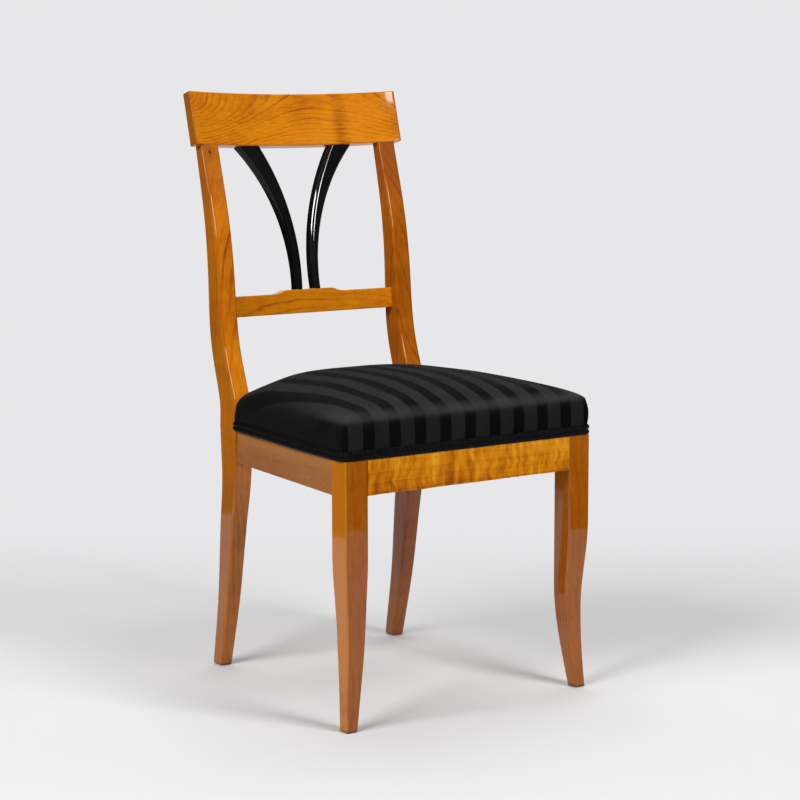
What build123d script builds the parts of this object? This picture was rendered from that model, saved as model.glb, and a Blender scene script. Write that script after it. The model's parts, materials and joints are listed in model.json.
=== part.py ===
from build123d import *
import math
import os

# A side chair: sabre legs, a raked and hollowed back, two ebonised splats, and a sprung, stuffed-over seat.
# It is drawn with x across, y to the back from the front faces of the front legs, and z up from the floor.
# Only the right-hand pieces are drawn, and the left-hand ones are their mirror images.

# Overall sizes, in millimetres. Angles are in degrees.
total_height = 890.0
front_width = 434.0
rear_width = 358.0
seat_depth = 360.0
seat_line = 384.0
seat_drop = 4.0

# Front legs: shaped on the front and the outer side, tapered on the two inner sides.
leg_width = 38.0
leg_depth = 36.0
leg_knee = 252.0
leg_hollow_height = 125.0
leg_hollow = 7.0
leg_toe = 2.0
leg_taper_height = 160.0
leg_foot_width = 18.0
leg_foot_depth = 20.5
leg_taper_ease = 1.35

# Stiles: rear leg and back post in one plank.
stile_thickness = 31.0
stile_seat_depth = 46.5
stile_top_depth = 20.0
stile_foot_depth = 24.5
stile_foot_width = 21.5
stile_foot_inset = 4.5
stile_foot_setback = 60.5
stile_flat_margin = 4.0
stile_lead = 21.0
# Stations of the sweep: share of the height, and share of the setback, from the seat outwards.
sweep_below = [(0.64, 0.54), (0.27, 0.21)]
sweep_above = [(0.12, 0.14), (0.245, 0.335), (0.49, 0.485), (0.735, 0.665)]

# Seat frame.
rail_visible = 50.0
rail_hidden = 14.0
rail_thickness = 24.0
side_rail_recess = 3.0
back_rail_recess = 6.5
veneer_thickness = 1.2
rebate_depth = 3.0

# Back.
crest_length = 379.0
crest_height = 83.0
crest_thickness = 20.0
crest_rake = 15.0
crest_sag = 20.0
crest_setback = 84.5
crest_arris = 2.0
stay_height = 32.0
stay_bottom = 545.5
stay_thickness = 18.0
stay_setback = 51.0
stay_sag = 13.5
stay_rake = 6.0
stay_raise = 5.5
stay_raise_half = 40.0
stay_ramp = 23.0
splat_thickness = 15.5
splat_recess = -0.5
splat_lean = 9.1
splat_foot_inner = 9.7
splat_foot_outer = 24.1
splat_waist_inner = 19.5
splat_waist_outer = 40.5
splat_head_inner = 65.0
splat_head_outer = 106.5
splat_waist_share = 0.525
splat_round = 5.0

# Joinery.
joint_gap = 0.15
tenon_root = 2.0
rail_tenon_thickness = 9.0
rail_tenon_shoulder = 9.0
front_tenon_length = 22.0
side_tenon_front_length = 15.0
side_tenon_rear_length = 19.0
back_tenon_length = 9.0
stay_tenon_length = 12.0
stay_tenon_thickness = 8.0
stay_tenon_shoulder = 5.0
stile_tenon_width = 18.0
stile_tenon_depth = 9.0
stile_tenon_length = 25.0
splat_tenon_length = 8.0
splat_tenon_thickness = 6.0
splat_foot_shoulder = 2.5
splat_head_shoulder = 7.5

# Corner blocks and their screws.
block_reach = 46.0
block_margin = 7.0
block_grip = 10.0
screw_diameter = 4.0
screw_bite = 13.0
screw_share = 0.45
screw_gap = 0.3
screw_head_diameter = 8.0
screw_head_height = 3.0

# Webbing and tacks.
strap_width = 50.0
strap_thickness = 1.6
strap_overlap = 16.0
strap_pitch_across = 92.0
strap_pitch_along = 86.0
tack_shank = 2.0
tack_bite = 8.0
tack_head = 6.0
tack_head_height = 1.0
tack_gap = 0.3
tack_edge = 7.0
tack_pitch = 16.0
cover_tack_pitch = 38.0

# Springs.
wire_diameter = 3.2
spring_end_diameter = 74.0
spring_waist_diameter = 48.0
spring_turns = 5
spring_spread_front = 88.0
spring_spread_rear = 74.0
spring_row_pitch = 84.0
spring_gap = 0.3
spring_end_pitch_share = 0.45
spring_step = 0.25
spring_samples = 72

# Upholstery, measured up from the tack line.
border_height = 40.0
border_lean = 1.5
crown_height = 94.5
crown_flat = 22.0
crown_power = 1.2
crown_turn = 88.0
crown_steps = 8
pad_corner = 12.6
pad_corner_growth = 0.45
fillet_limit = 0.8
cover_thickness = 2.0
cloth_gap = 0.3
stile_cloth_gap = 0.5
hessian_thickness = 1.2
hessian_rise = 30.0
hessian_slope = 26.0
hessian_flange = 12.0
braid_height = 14.5
braid_thickness = 1.8
braid_gap = 0.1

# Worked out from the sizes above.
half_front = front_width / 2
half_rear = rear_width / 2
leg_inner = half_front - leg_width
stile_inner = half_rear - stile_thickness
seat_slope = math.degrees(math.atan2(seat_drop, seat_depth))
seat_frame = Location((0, 0, seat_line), (-seat_slope, 0, 0))
back_face = seat_depth + stile_seat_depth - back_rail_recess
back_rail_front = back_face - rail_thickness
leg_top = seat_line + rail_hidden - seat_drop * leg_depth / seat_depth
rail_bottom_rear = seat_line - rail_visible - seat_drop
stile_flat_low = rail_bottom_rear - stile_flat_margin
stile_flat_high = seat_line + rail_hidden + stile_flat_margin
rake_sine = math.sin(math.radians(crest_rake))
rake_cosine = math.cos(math.radians(crest_rake))
crest_front = seat_depth + crest_setback
crest_bottom = total_height - crest_height * rake_cosine
crest_frame = Plane(
    origin=(0, crest_front, crest_bottom), x_dir=(1, 0, 0), z_dir=(0, rake_sine, rake_cosine)
)
stay_front = seat_depth + stay_setback
stay_frame = Plane(
    origin=(0, stay_front, stay_bottom),
    x_dir=(1, 0, 0),
    z_dir=(0, math.sin(math.radians(stay_rake)), math.cos(math.radians(stay_rake))),
)
rail_front_corner = Vector(half_front, leg_depth)
rail_rear_corner = Vector(half_rear - side_rail_recess, seat_depth)
rail_run = (rail_rear_corner - rail_front_corner).normalized()
rail_inward = Vector(-rail_run.Y, rail_run.X)
reach = 2 * (total_height + front_width + seat_depth)
room = reach / 4
standing = (Align.CENTER, Align.CENTER, Align.MIN)
hanging = (Align.CENTER, Align.CENTER, Align.MAX)


def arc_set_back(x, length, sag):
    """How far a hollowed board stands back at x, from the line between its ends."""
    radius = (length * length / 4 + sag * sag) / (2 * sag)
    return sag - radius + math.sqrt(radius * radius - x * x)


def outline(*points):
    """A flat face on straight lines."""
    return make_face(Polyline(*points, close=True))


def upright(points):
    """A tall upright prism on plan points."""
    return extrude(outline(*points), total_height, dir=(0, 0, 1))


def slab(low, high):
    """A layer parallel to the seat, between two heights over the tack line."""
    middle = Pos(0, seat_depth / 2, (low + high) / 2)
    return seat_frame * middle * Box(reach, reach, high - low)


def side_line(y, inset):
    """Where a line set in from the side rail's outer face is, at a depth y in the chair."""
    start = rail_front_corner + rail_inward * inset
    return start.X + (y - start.Y) * rail_run.X / rail_run.Y


def tongue(place, thickness, height, length, gap=0.0):
    """A tenon that rises from the given plane, or with a gap the mortise for it."""
    body = Box(thickness + 2 * gap, height + 2 * gap, length + gap + tenon_root)
    return place.location * Pos(0, 0, (length + gap - tenon_root) / 2) * body


def mirrored(piece):
    """The left-hand twin of a right-hand piece."""
    return mirror(piece, about=Plane.YZ)


def leg_profile(size, foot):
    """A front leg seen from one side: the shaped face is at 0 and the plain one at size."""
    shaped_lean = 2 * (leg_hollow - leg_toe) / leg_hollow_height
    plain_lean = leg_taper_ease * (size - foot - leg_toe) / leg_taper_height
    shaped = Spline(
        (leg_toe, 0),
        (leg_hollow, leg_hollow_height),
        (0, leg_knee),
        tangents=[(shaped_lean, 1), (0, 1), (0, 1)],
    )
    plain = Spline((leg_toe + foot, 0), (size, leg_taper_height), tangents=[(plain_lean, 1), (0, 1)])
    rest = Polyline((0, leg_knee), (0, leg_top), (size, leg_top), (size, leg_taper_height))
    sole = Line((leg_toe, 0), (leg_toe + foot, 0))
    return make_face([*shaped.edges(), *rest.edges(), *plain.edges(), *sole.edges()])


def front_leg():
    """The right front leg, without its joinery."""
    from_front = Plane(origin=(half_front, 0, 0), x_dir=(-1, 0, 0), z_dir=(0, 1, 0))
    from_side = Plane(origin=(leg_inner, 0, 0), x_dir=(0, 1, 0), z_dir=(1, 0, 0))
    across = extrude(from_front * leg_profile(leg_width, leg_foot_width), leg_depth)
    along = extrude(from_side * leg_profile(leg_depth, leg_foot_depth), leg_width)
    return across & along


def stile_depth(z):
    """Depth of a stile at a height: fullest at the seat, tapering to the foot and the crest."""
    if z < seat_line:
        return stile_foot_depth + (stile_seat_depth - stile_foot_depth) * z / seat_line
    share = (z - seat_line) / (crest_bottom - seat_line)
    return stile_seat_depth + (stile_top_depth - stile_seat_depth) * share


def stile_path_below():
    """Points of the stile's front edge in side view, from the foot to the seat."""
    path = [(seat_depth + stile_foot_setback, 0)]
    path += [(seat_depth + stile_foot_setback * s, stile_flat_low * (1 - h)) for h, s in sweep_below]
    return path + [(seat_depth, stile_flat_low)]


def stile_path_above():
    """Points of the stile's front edge in side view, from the seat to the crest's underside."""
    middle = half_rear - stile_thickness / 2
    crest_local = arc_set_back(middle, crest_length, crest_sag)
    top_y = crest_front + crest_local * rake_cosine
    top_z = crest_bottom - crest_local * rake_sine
    run = top_y - seat_depth
    rise = top_z - stile_flat_high
    path = [(seat_depth, stile_flat_high)]
    path += [(seat_depth + run * s, stile_flat_high + rise * h) for h, s in sweep_above]
    return path + [(top_y, top_z)]


def stile_edge(rear):
    """The stile's front or rear edge in side view, from the foot to above the crest's underside."""
    low_points = [(y + rear * stile_depth(z), z) for y, z in stile_path_below()]
    high_points = [(y + rear * stile_depth(z), z) for y, z in stile_path_above()]
    low_points[-1] = (seat_depth + rear * stile_seat_depth, stile_flat_low)
    high_points[0] = (seat_depth + rear * stile_seat_depth, stile_flat_high)
    foot_lean = (low_points[1][0] - low_points[0][0]) / (low_points[1][1] - low_points[0][1])
    end = Vector(*high_points[-1])
    tip = end + Vector(rake_sine, rake_cosine) * crest_thickness
    lower = Spline(*low_points, tangents=[(foot_lean, 1), (0, 1)])
    upper = Spline(*high_points, tangents=[(0, 1), (rake_sine, rake_cosine)])
    edges = [*lower.edges(), *Line(low_points[-1], high_points[0]).edges(), *upper.edges()]
    edges += Line(end, tip).edges()
    return edges, low_points[0], tip


def stile():
    """The right stile without its joinery."""
    front_edges, front_foot, front_tip = stile_edge(0)
    rear_edges, rear_foot, rear_tip = stile_edge(1)
    ends = [*Line(front_foot, rear_foot).edges(), *Line(front_tip, rear_tip).edges()]
    from_side = Plane(origin=(stile_inner, 0, 0), x_dir=(0, 1, 0), z_dir=(1, 0, 0))
    plank = extrude(from_side * make_face(front_edges + rear_edges + ends), stile_thickness)
    from_front = Plane(origin=(0, reach / 2, 0), x_dir=(1, 0, 0), z_dir=(0, -1, 0))
    taper = outline(
        (half_rear - stile_foot_inset, 0),
        (half_rear, stile_flat_low),
        (half_rear, reach / 2),
        (stile_inner, reach / 2),
        (stile_inner, stile_flat_low),
        (half_rear - stile_foot_inset - stile_foot_width, 0),
    )
    over_crest = crest_frame.location * Pos(0, 0, reach / 2) * Box(reach, reach, reach)
    return (plank & extrude(from_front * taper, reach)) - over_crest


def crest():
    """The crest rail: a raked board hollowed to the sitter's back."""
    half = crest_length / 2
    front = ThreePointArc((-half, 0), (0, crest_sag), (half, 0))
    rear = ThreePointArc((half, crest_thickness), (0, crest_sag + crest_thickness), (-half, crest_thickness))
    ends = [Line((half, 0), (half, crest_thickness)), Line((-half, crest_thickness), (-half, 0))]
    section = make_face([*front.edges(), *ends[0].edges(), *rear.edges(), *ends[1].edges()])
    board = crest_frame * extrude(section, crest_height)
    return fillet(board.edges(), crest_arris)


def stay():
    """The lower cross rail: hollowed like the crest, with a raised seat for the splats."""
    half = stile_inner
    front = ThreePointArc((-half, 0), (0, stay_sag), (half, 0))
    rear = ThreePointArc((half, stay_thickness), (0, stay_sag + stay_thickness), (-half, stay_thickness))
    ends = [Line((half, 0), (half, stay_thickness)), Line((-half, stay_thickness), (-half, 0))]
    section = make_face([*front.edges(), *ends[0].edges(), *rear.edges(), *ends[1].edges()])
    top = stay_height + stay_raise
    band = extrude(section, top)
    face = outline(
        (-half, 0),
        (half, 0),
        (half, stay_height),
        (stay_raise_half + stay_ramp, stay_height),
        (stay_raise_half, top),
        (-stay_raise_half, top),
        (-stay_raise_half - stay_ramp, stay_height),
        (-half, stay_height),
    )
    front_view = Plane(origin=(0, reach / 2, 0), x_dir=(1, 0, 0), z_dir=(0, -1, 0))
    return stay_frame * (band & extrude(front_view * face, reach))


def stay_tenon_place():
    """The plane at the stile's inner face, in the middle of the stay rail's end."""
    centre = stay_frame.from_local_coords((stile_inner, stay_thickness / 2, stay_height / 2))
    return Plane(origin=centre, x_dir=stay_frame.y_dir, z_dir=(1, 0, 0))


def splat_plane():
    """The leaning plane of the splats' front faces, from the top of the stay rail."""
    lean = math.radians(splat_lean)
    foot = stay_frame.from_local_coords((0, stay_sag + splat_recess, stay_height + stay_raise))
    return Plane(origin=foot, x_dir=(1, 0, 0), z_dir=(0, -math.cos(lean), math.sin(lean)))


def splat_head_height():
    """Length of a splat's middle along its lean, from the stay rail to the crest's underside."""
    base = splat_plane()
    up = base.y_dir
    normal = crest_frame.z_dir
    return (crest_frame.origin - base.origin).dot(normal) / up.dot(normal)


def splat():
    """The right splat, from the stay rail to the crest's underside, without its tenons."""
    head = splat_head_height()
    waist = head * splat_waist_share
    spare = crest_thickness
    inner_end = (splat_head_inner, head)
    outer_end = (splat_head_outer, head)
    inner = ThreePointArc((splat_foot_inner, 0), (splat_waist_inner, waist), inner_end)
    outer = ThreePointArc((splat_foot_outer, 0), (splat_waist_outer, waist), outer_end)
    inner_tip = Vector(*inner_end) + (inner % 1).normalized() * spare
    outer_tip = Vector(*outer_end) + (outer % 1).normalized() * spare
    edges = [*inner.edges(), *Line(inner_end, inner_tip).edges(), *Line(inner_tip, outer_tip).edges()]
    edges += [*Line(outer_tip, outer_end).edges(), *outer.edges()]
    edges += Line((splat_foot_inner, 0), (splat_foot_outer, 0)).edges()
    plane = splat_plane()
    board = extrude(plane * make_face(edges), -splat_thickness)
    face = board.faces().sort_by(Axis(plane.origin, plane.z_dir))[-1]
    board = fillet(face.edges().filter_by(GeomType.CIRCLE), splat_round)
    over_crest = crest_frame.location * Pos(0, 0, reach / 2) * Box(reach, reach, reach)
    stay_top = Pos(0, 0, stay_height + stay_raise - reach / 2)
    under_stay = stay_frame.location * stay_top * Box(reach, reach, reach)
    return board - over_crest - under_stay


def splat_tenon_places():
    """Planes at a splat's head and foot, in the middle of each end, with the tenon's width there."""
    base = splat_plane()
    head = splat_head_height()
    middle = -splat_thickness / 2
    head_x = (splat_head_inner + splat_head_outer) / 2
    foot_x = (splat_foot_inner + splat_foot_outer) / 2
    head_centre = base.from_local_coords((head_x, head, middle))
    foot_centre = base.from_local_coords((foot_x, 0, middle))
    head_local = crest_frame.to_local_coords(head_centre)
    head_point = crest_frame.from_local_coords((head_x, head_local.Y, 0))
    foot_local = stay_frame.to_local_coords(foot_centre)
    foot_point = stay_frame.from_local_coords((foot_x, foot_local.Y, stay_height + stay_raise))
    head_place = Plane(origin=head_point, x_dir=crest_frame.y_dir, z_dir=crest_frame.z_dir)
    foot_place = Plane(origin=foot_point, x_dir=stay_frame.y_dir, z_dir=-stay_frame.z_dir)
    head_width = splat_head_outer - splat_head_inner - 2 * splat_head_shoulder
    foot_width = splat_foot_outer - splat_foot_inner - 2 * splat_foot_shoulder
    return [(head_place, head_width), (foot_place, foot_width)]


def splat_tongues(gap=0.0):
    """Both tenons of the right splat, or with a gap their mortises."""
    return [
        tongue(place, splat_tenon_thickness, width, splat_tenon_length, gap)
        for place, width in splat_tenon_places()
    ]


def stile_top_tongue(gap=0.0):
    """The right stile's tenon into the crest, or with a gap its mortise."""
    middle = half_rear - stile_thickness / 2
    depth = arc_set_back(middle, crest_length, crest_sag) + crest_thickness / 2
    centre = crest_frame.from_local_coords((middle, depth, 0))
    place = Plane(origin=centre, x_dir=(1, 0, 0), z_dir=crest_frame.z_dir)
    return tongue(place, stile_tenon_width, stile_tenon_depth, stile_tenon_length, gap)


def rail_tongue(centre, direction, length, gap=0.0):
    """A seat rail's tenon from a plan point, along a plan direction, or with a gap its mortise."""
    height = rail_visible + rail_hidden - 2 * rail_tenon_shoulder
    fall = seat_drop * centre.Y / seat_depth
    z = seat_line - fall + (rail_hidden - rail_visible) / 2
    across = Vector(-direction.Y, direction.X)
    place = Plane(origin=(centre.X, centre.Y, z), x_dir=across, z_dir=direction)
    return tongue(place, rail_tenon_thickness, height, length, gap)


front_tenon_centre = Vector(leg_inner, (veneer_thickness + rail_thickness) / 2)
side_tenon_front = Vector(side_line(leg_depth, rail_thickness / 2), leg_depth)
side_tenon_rear = Vector(side_line(seat_depth, rail_thickness / 2), seat_depth)
back_tenon_centre = Vector(stile_inner, back_face - rail_thickness / 2)
right_way = Vector(1, 0)


def front_tongue(gap=0.0):
    """The front rail's right-hand tenon."""
    return rail_tongue(front_tenon_centre, right_way, front_tenon_length, gap)


def side_front_tongue(gap=0.0):
    """The right side rail's tenon into the front leg."""
    return rail_tongue(side_tenon_front, rail_run * -1, side_tenon_front_length, gap)


def side_rear_tongue(gap=0.0):
    """The right side rail's tenon into the stile."""
    return rail_tongue(side_tenon_rear, rail_run, side_tenon_rear_length, gap)


def back_tongue(gap=0.0):
    """The back rail's right-hand tenon."""
    return rail_tongue(back_tenon_centre, right_way, back_tenon_length, gap)


def stay_tongue(gap=0.0):
    """The stay rail's right-hand tenon."""
    height = stay_height - 2 * stay_tenon_shoulder
    return tongue(stay_tenon_place(), stay_tenon_thickness, height, stay_tenon_length, gap)


def both_sides(piece):
    """A right-hand piece and its left-hand twin."""
    return [piece, mirrored(piece)]


def front_rail():
    """The front rail's core, set back behind its veneer."""
    plan = [(-leg_inner, 0), (leg_inner, 0), (leg_inner, rail_thickness), (-leg_inner, rail_thickness)]
    body = upright(plan) & slab(-rail_visible, rail_hidden)
    body -= Pos(0, veneer_thickness - reach / 2, reach / 2) * Box(reach, reach, reach)
    return body + both_sides(front_tongue())


def front_veneer():
    """The figured veneer on the part of the front rail that shows."""
    plan = [(-leg_inner, 0), (leg_inner, 0), (leg_inner, veneer_thickness), (-leg_inner, veneer_thickness)]
    return upright(plan) & slab(-rail_visible, 0)


def side_rail():
    """The right side rail, between the front leg's back and the stile's front."""
    plan = [
        (side_line(leg_depth, 0), leg_depth),
        (side_line(seat_depth, 0), seat_depth),
        (side_line(seat_depth, rail_thickness), seat_depth),
        (side_line(leg_depth, rail_thickness), leg_depth),
    ]
    return (upright(plan) & slab(-rail_visible, rail_hidden)) + side_front_tongue() + side_rear_tongue()


def back_rail():
    """The back rail, between the stiles."""
    plan = [
        (-stile_inner, back_rail_front),
        (stile_inner, back_rail_front),
        (stile_inner, back_face),
        (-stile_inner, back_face),
    ]
    return (upright(plan) & slab(-rail_visible, rail_hidden)) + both_sides(back_tongue())


def front_block():
    """The right front corner block, fitted round the leg's inner corner."""
    far = leg_depth + block_reach
    plan = [
        (leg_inner - block_reach, rail_thickness),
        (leg_inner, rail_thickness),
        (leg_inner, leg_depth),
        (side_line(leg_depth, rail_thickness), leg_depth),
        (side_line(far, rail_thickness), far),
    ]
    return upright(plan) & slab(block_margin - rail_visible, -block_margin)


def rear_block():
    """The right rear corner block, fitted round the stile's inner corner."""
    far = seat_depth - block_reach
    plan = [
        (stile_inner - block_reach, back_rail_front),
        (stile_inner, back_rail_front),
        (stile_inner, seat_depth),
        (side_line(seat_depth, rail_thickness), seat_depth),
        (side_line(far, rail_thickness), far),
    ]
    return upright(plan) & slab(block_margin - rail_visible, -block_margin)


def screw_places():
    """Planes on the rails' inner faces for the right-hand blocks' screws, each facing into its rail."""
    inset = screw_share * block_reach
    front_y = leg_depth + inset
    rear_y = seat_depth - inset
    spots = [
        ((leg_inner - inset, rail_thickness), (0, -1, 0)),
        ((side_line(front_y, rail_thickness), front_y), rail_inward * -1),
        ((stile_inner - inset, back_rail_front), (0, 1, 0)),
        ((side_line(rear_y, rail_thickness), rear_y), rail_inward * -1),
    ]
    places = []
    for (x, y), way in spots:
        z = seat_line - seat_drop * y / seat_depth - rail_visible / 2
        places.append(Plane(origin=(x, y, z), x_dir=(0, 0, 1), z_dir=way))
    return places


def screw(place, gap=0.0):
    """A countersunk wood screw across the joint, or with a gap the hole for it."""
    shank = Cylinder(screw_diameter / 2 + gap, block_grip + screw_bite + gap, align=standing)
    head = Cone(screw_head_diameter / 2 + gap, screw_diameter / 2 + gap, screw_head_height, align=standing)
    body = shank + head
    if gap:
        body += Cylinder(screw_head_diameter / 2 + gap, block_reach, align=hanging)
    return place.location * Pos(0, 0, -block_grip) * body


def tack(place, under, gap=0.0):
    """A cut tack whose head bears on a cloth of the given thickness, or with a gap the hole for it."""
    shank = Cylinder(tack_shank / 2 + gap, under + tack_bite + gap, align=standing)
    head = Cylinder(tack_head / 2 + gap, tack_head_height + gap, align=hanging)
    return place.location * Pos(0, 0, -under) * (shank + head)


def strap_lines():
    """Middle lines of the webbing straps: places across the seat, and places along it."""
    middle = (rail_thickness + back_rail_front) / 2
    across = [strap_pitch_across * i for i in (-1, 0, 1)]
    along = [middle + strap_pitch_along * i for i in (-1, 0, 1)]
    return across, along


def strap(stations, span):
    """A strap's solid on its side-view stations, extruded evenly about its middle line."""
    upper = [(s, z + strap_thickness / 2) for s, z in stations]
    lower = [(s, z - strap_thickness / 2) for s, z in reversed(stations)]
    return extrude(outline(*upper, *lower), span / 2, both=True)


def strap_stations(start, end, crossings, first_over):
    """Side-view stations of a strap that weaves over and under the ones it crosses."""
    lift = (strap_thickness + joint_gap) / 2
    bed = -rail_visible - strap_thickness / 2
    half = strap_width / 2 + strap_thickness
    flat = strap_overlap + strap_width * abs(rail_run.X)
    stations = [(start, bed), (start + flat, bed)]
    for i, crossing in enumerate(crossings):
        way = 1 if (i % 2 == 0) == first_over else -1
        stations += [(crossing - half, bed + way * lift), (crossing + half, bed + way * lift)]
    return stations + [(end - flat, bed), (end, bed)]


def straps_along():
    """The straps from the front rail to the back rail, in the seat's own frame."""
    across, along = strap_lines()
    start = rail_thickness - strap_overlap
    end = back_rail_front + strap_overlap
    pieces = []
    for i, x in enumerate(across):
        plane = Plane(origin=(x, 0, 0), x_dir=(0, 1, 0), z_dir=(1, 0, 0))
        pieces.append(plane * strap(strap_stations(start, end, along, i % 2 == 0), strap_width))
    return pieces


def straps_across():
    """The straps from one side rail to the other, in the seat's own frame."""
    across, along = strap_lines()
    pieces = []
    for i, y in enumerate(along):
        end = side_line(y, rail_thickness) + strap_overlap
        plane = Plane(origin=(0, y, 0), x_dir=(1, 0, 0), z_dir=(0, -1, 0))
        pieces.append(plane * strap(strap_stations(-end, end, across, i % 2 == 1), strap_width))
    return pieces


def webbing_tack_places():
    """Planes on the rails' undersides, in the seat's own frame, for three tacks at each strap's end."""
    across, along = strap_lines()
    spots = []
    for j in (-1, 0, 1):
        for x in across:
            spots.append((x + j * tack_pitch, rail_thickness - strap_overlap + tack_edge))
            spots.append((x + j * tack_pitch, back_rail_front + strap_overlap - tack_edge))
        for y in along:
            x = side_line(y, rail_thickness) + strap_overlap - tack_edge
            spots.append((x, y + j * tack_pitch))
            spots.append((-x, y + j * tack_pitch))
    return [Plane(origin=(x, y, -rail_visible), z_dir=(0, 0, 1)) for x, y in spots]


def spread(start, end, pitch):
    """Evenly spaced points between two plan points, about a pitch apart."""
    count = max(2, round((end - start).length / pitch) + 1)
    return [start + (end - start) * (i / (count - 1)) for i in range(count)]


def cover_tack_places():
    """Planes on the rails' rebates, in the seat's own frame, each facing into its rail."""
    z = rail_hidden / 2
    margin = leg_width / 2
    front = spread(Vector(-leg_inner + margin, 0), Vector(leg_inner - margin, 0), cover_tack_pitch)
    rear_margin = margin + tack_head
    rear_end = Vector(stile_inner - rear_margin, back_face)
    rear = spread(Vector(-rear_end.X, back_face), rear_end, cover_tack_pitch)
    start = rail_front_corner + rail_run * margin
    end = rail_rear_corner - rail_run * margin
    side = spread(start, end, cover_tack_pitch)
    places = [Plane(origin=(p.X, p.Y + rebate_depth, z), z_dir=(0, 1, 0)) for p in front]
    places += [Plane(origin=(p.X, p.Y - rebate_depth, z), z_dir=(0, -1, 0)) for p in rear]
    for p in side:
        bed = p + rail_inward * rebate_depth
        for hand in (1, -1):
            way = (hand * rail_inward.X, rail_inward.Y, 0)
            places.append(Plane(origin=(hand * bed.X, bed.Y, z), z_dir=way))
    return places


def biarc(start, start_way, end, end_way):
    """Two arcs that leave one point and reach another along the given directions."""
    chord = end - start
    total = start_way + end_way
    a = 2 * (start_way.dot(end_way) - 1)
    b = -2 * chord.dot(total)
    c = chord.dot(chord)
    handle = (-b - math.sqrt(b * b - 4 * a * c)) / (2 * a)
    first = start + start_way * handle
    second = end - end_way * handle
    joint = (first + second) / 2
    arcs = []
    for p, corner, q in ((start, first, joint), (joint, second, end)):
        middle = (p + q) / 2
        rise = (corner - middle).length
        half = (q - p).length / 2
        bulge = half * (math.sqrt(half * half + rise * rise) - half) / rise
        arcs.append(ThreePointArc(p, middle + (corner - middle).normalized() * bulge, q))
    return arcs


def spring_point(turn, height):
    """A point on the middle line of a waisted spring, after a number of turns."""
    share = turn / spring_turns
    waist = (spring_end_diameter - spring_waist_diameter) / 2
    radius = spring_end_diameter / 2 - waist * math.sin(math.pi * share) ** 2
    ease = (1 - spring_end_pitch_share) / (2 * math.pi)
    rise = height * (share - ease * math.sin(2 * math.pi * share))
    angle = 2 * math.pi * turn
    return Vector(radius * math.cos(angle), radius * math.sin(angle), rise)


def spring(height):
    """One unbroken coil of round wire, wound on short arcs."""
    count = round(spring_turns / spring_step)
    probe = spring_step / spring_samples
    points = [spring_point(i * spring_step, height) for i in range(count + 1)]
    ahead = [spring_point(i * spring_step + probe, height) for i in range(count + 1)]
    behind = [spring_point(i * spring_step - probe, height) for i in range(count + 1)]
    ways = [(a - b).normalized() for a, b in zip(ahead, behind)]
    arcs = []
    for i in range(count):
        arcs += biarc(points[i], ways[i], points[i + 1], ways[i + 1])
    path = Wire([arc.edge() for arc in arcs])
    start = Plane(origin=points[0], z_dir=ways[0])
    return sweep(start * Circle(wire_diameter / 2), path=path)


def spring_self_gap(height):
    """The least clear distance between neighbouring turns of a spring, measured on points."""
    points = [spring_point(i / spring_samples, height) for i in range(spring_turns * spring_samples + 1)]
    gaps = []
    for i, p in enumerate(points):
        gaps += [(q - p).length for q in points[i + spring_samples // 2:]]
    return min(gaps) - wire_diameter


def spring_spots():
    """Plan points of the springs: two rows of two, and one in the middle."""
    middle = (rail_thickness + back_rail_front) / 2
    front = middle - spring_row_pitch
    rear = middle + spring_row_pitch
    pairs = [(spring_spread_front, front), (spring_spread_rear, rear)]
    return [(hand * x, y) for x, y in pairs for hand in (1, -1)] + [(0, middle)]


def pad_outline(inset, corner, height):
    """The seat's rounded outline, drawn in by an inset, at a height over the tack line."""
    front_y = inset
    rear_y = back_face - inset
    front_x = side_line(front_y, inset)
    rear_x = side_line(rear_y, inset)
    radius = min(corner, fillet_limit * rear_x, fillet_limit * (rear_y - front_y) / 2)
    points = [(-front_x, front_y), (front_x, front_y), (rear_x, rear_y), (-rear_x, rear_y)]
    return Pos(0, 0, height) * make_face(FilletPolyline(*points, radius=radius, close=True))


def pad_sections(inset):
    """Outlines of the stuffed seat's crowned form from the tack line up, drawn in all over by an inset."""
    reach_in = min(back_face / 2, side_line(back_face / 2, 0)) - crown_flat
    sections = [pad_outline(inset, pad_corner, 0)]
    for i in range(crown_steps):
        angle = math.radians(crown_turn * i / (crown_steps - 1))
        drawn = border_lean + (reach_in - border_lean) * (1 - math.cos(angle)) ** crown_power
        rise = border_height + (crown_height - border_height) * math.sin(angle)
        sections.append(pad_outline(inset + drawn, pad_corner + pad_corner_growth * drawn, rise - inset))
    return sections


def pad(inset):
    """The stuffed seat's crowned form, in the seat's own frame."""
    return loft(pad_sections(inset), ruled=True)


def stile_room():
    """The room that both stiles take up in the upholstery, in straight facets, in the seat's own frame."""
    path = [(y - stile_cloth_gap, z) for y, z in stile_path_above()]
    front = seat_depth - stile_cloth_gap
    bend = (front, stile_flat_high + stile_lead)
    points = [(front, 0), bend, *path[1:3], (room, path[2][1]), (room, 0)]
    from_side = Plane(origin=(stile_inner - stile_cloth_gap, 0, 0), x_dir=(0, 1, 0), z_dir=(1, 0, 0))
    block = extrude(from_side * outline(*points), room)
    return [seat_frame.inverse() * piece for piece in both_sides(block)]


def spring_chamber(swell):
    """The space for the springs over the rails, in the seat's own frame."""
    inner_front = rail_thickness + cloth_gap
    inner_rear = back_rail_front - cloth_gap
    front_half = side_line(inner_front + leg_depth, rail_thickness) - leg_depth / 2
    rear_half = stile_inner - cloth_gap

    def layer(inset, height):
        front_x = front_half - inset + swell
        rear_x = rear_half - inset + swell
        front_y = inner_front + inset - swell
        rear_y = inner_rear - inset + swell
        face = outline((-front_x, front_y), (front_x, front_y), (rear_x, rear_y), (-rear_x, rear_y))
        return Pos(0, 0, height) * face

    return loft([layer(0, rail_hidden), layer(hessian_slope, rail_hidden + hessian_rise + swell)], ruled=True)


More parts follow.
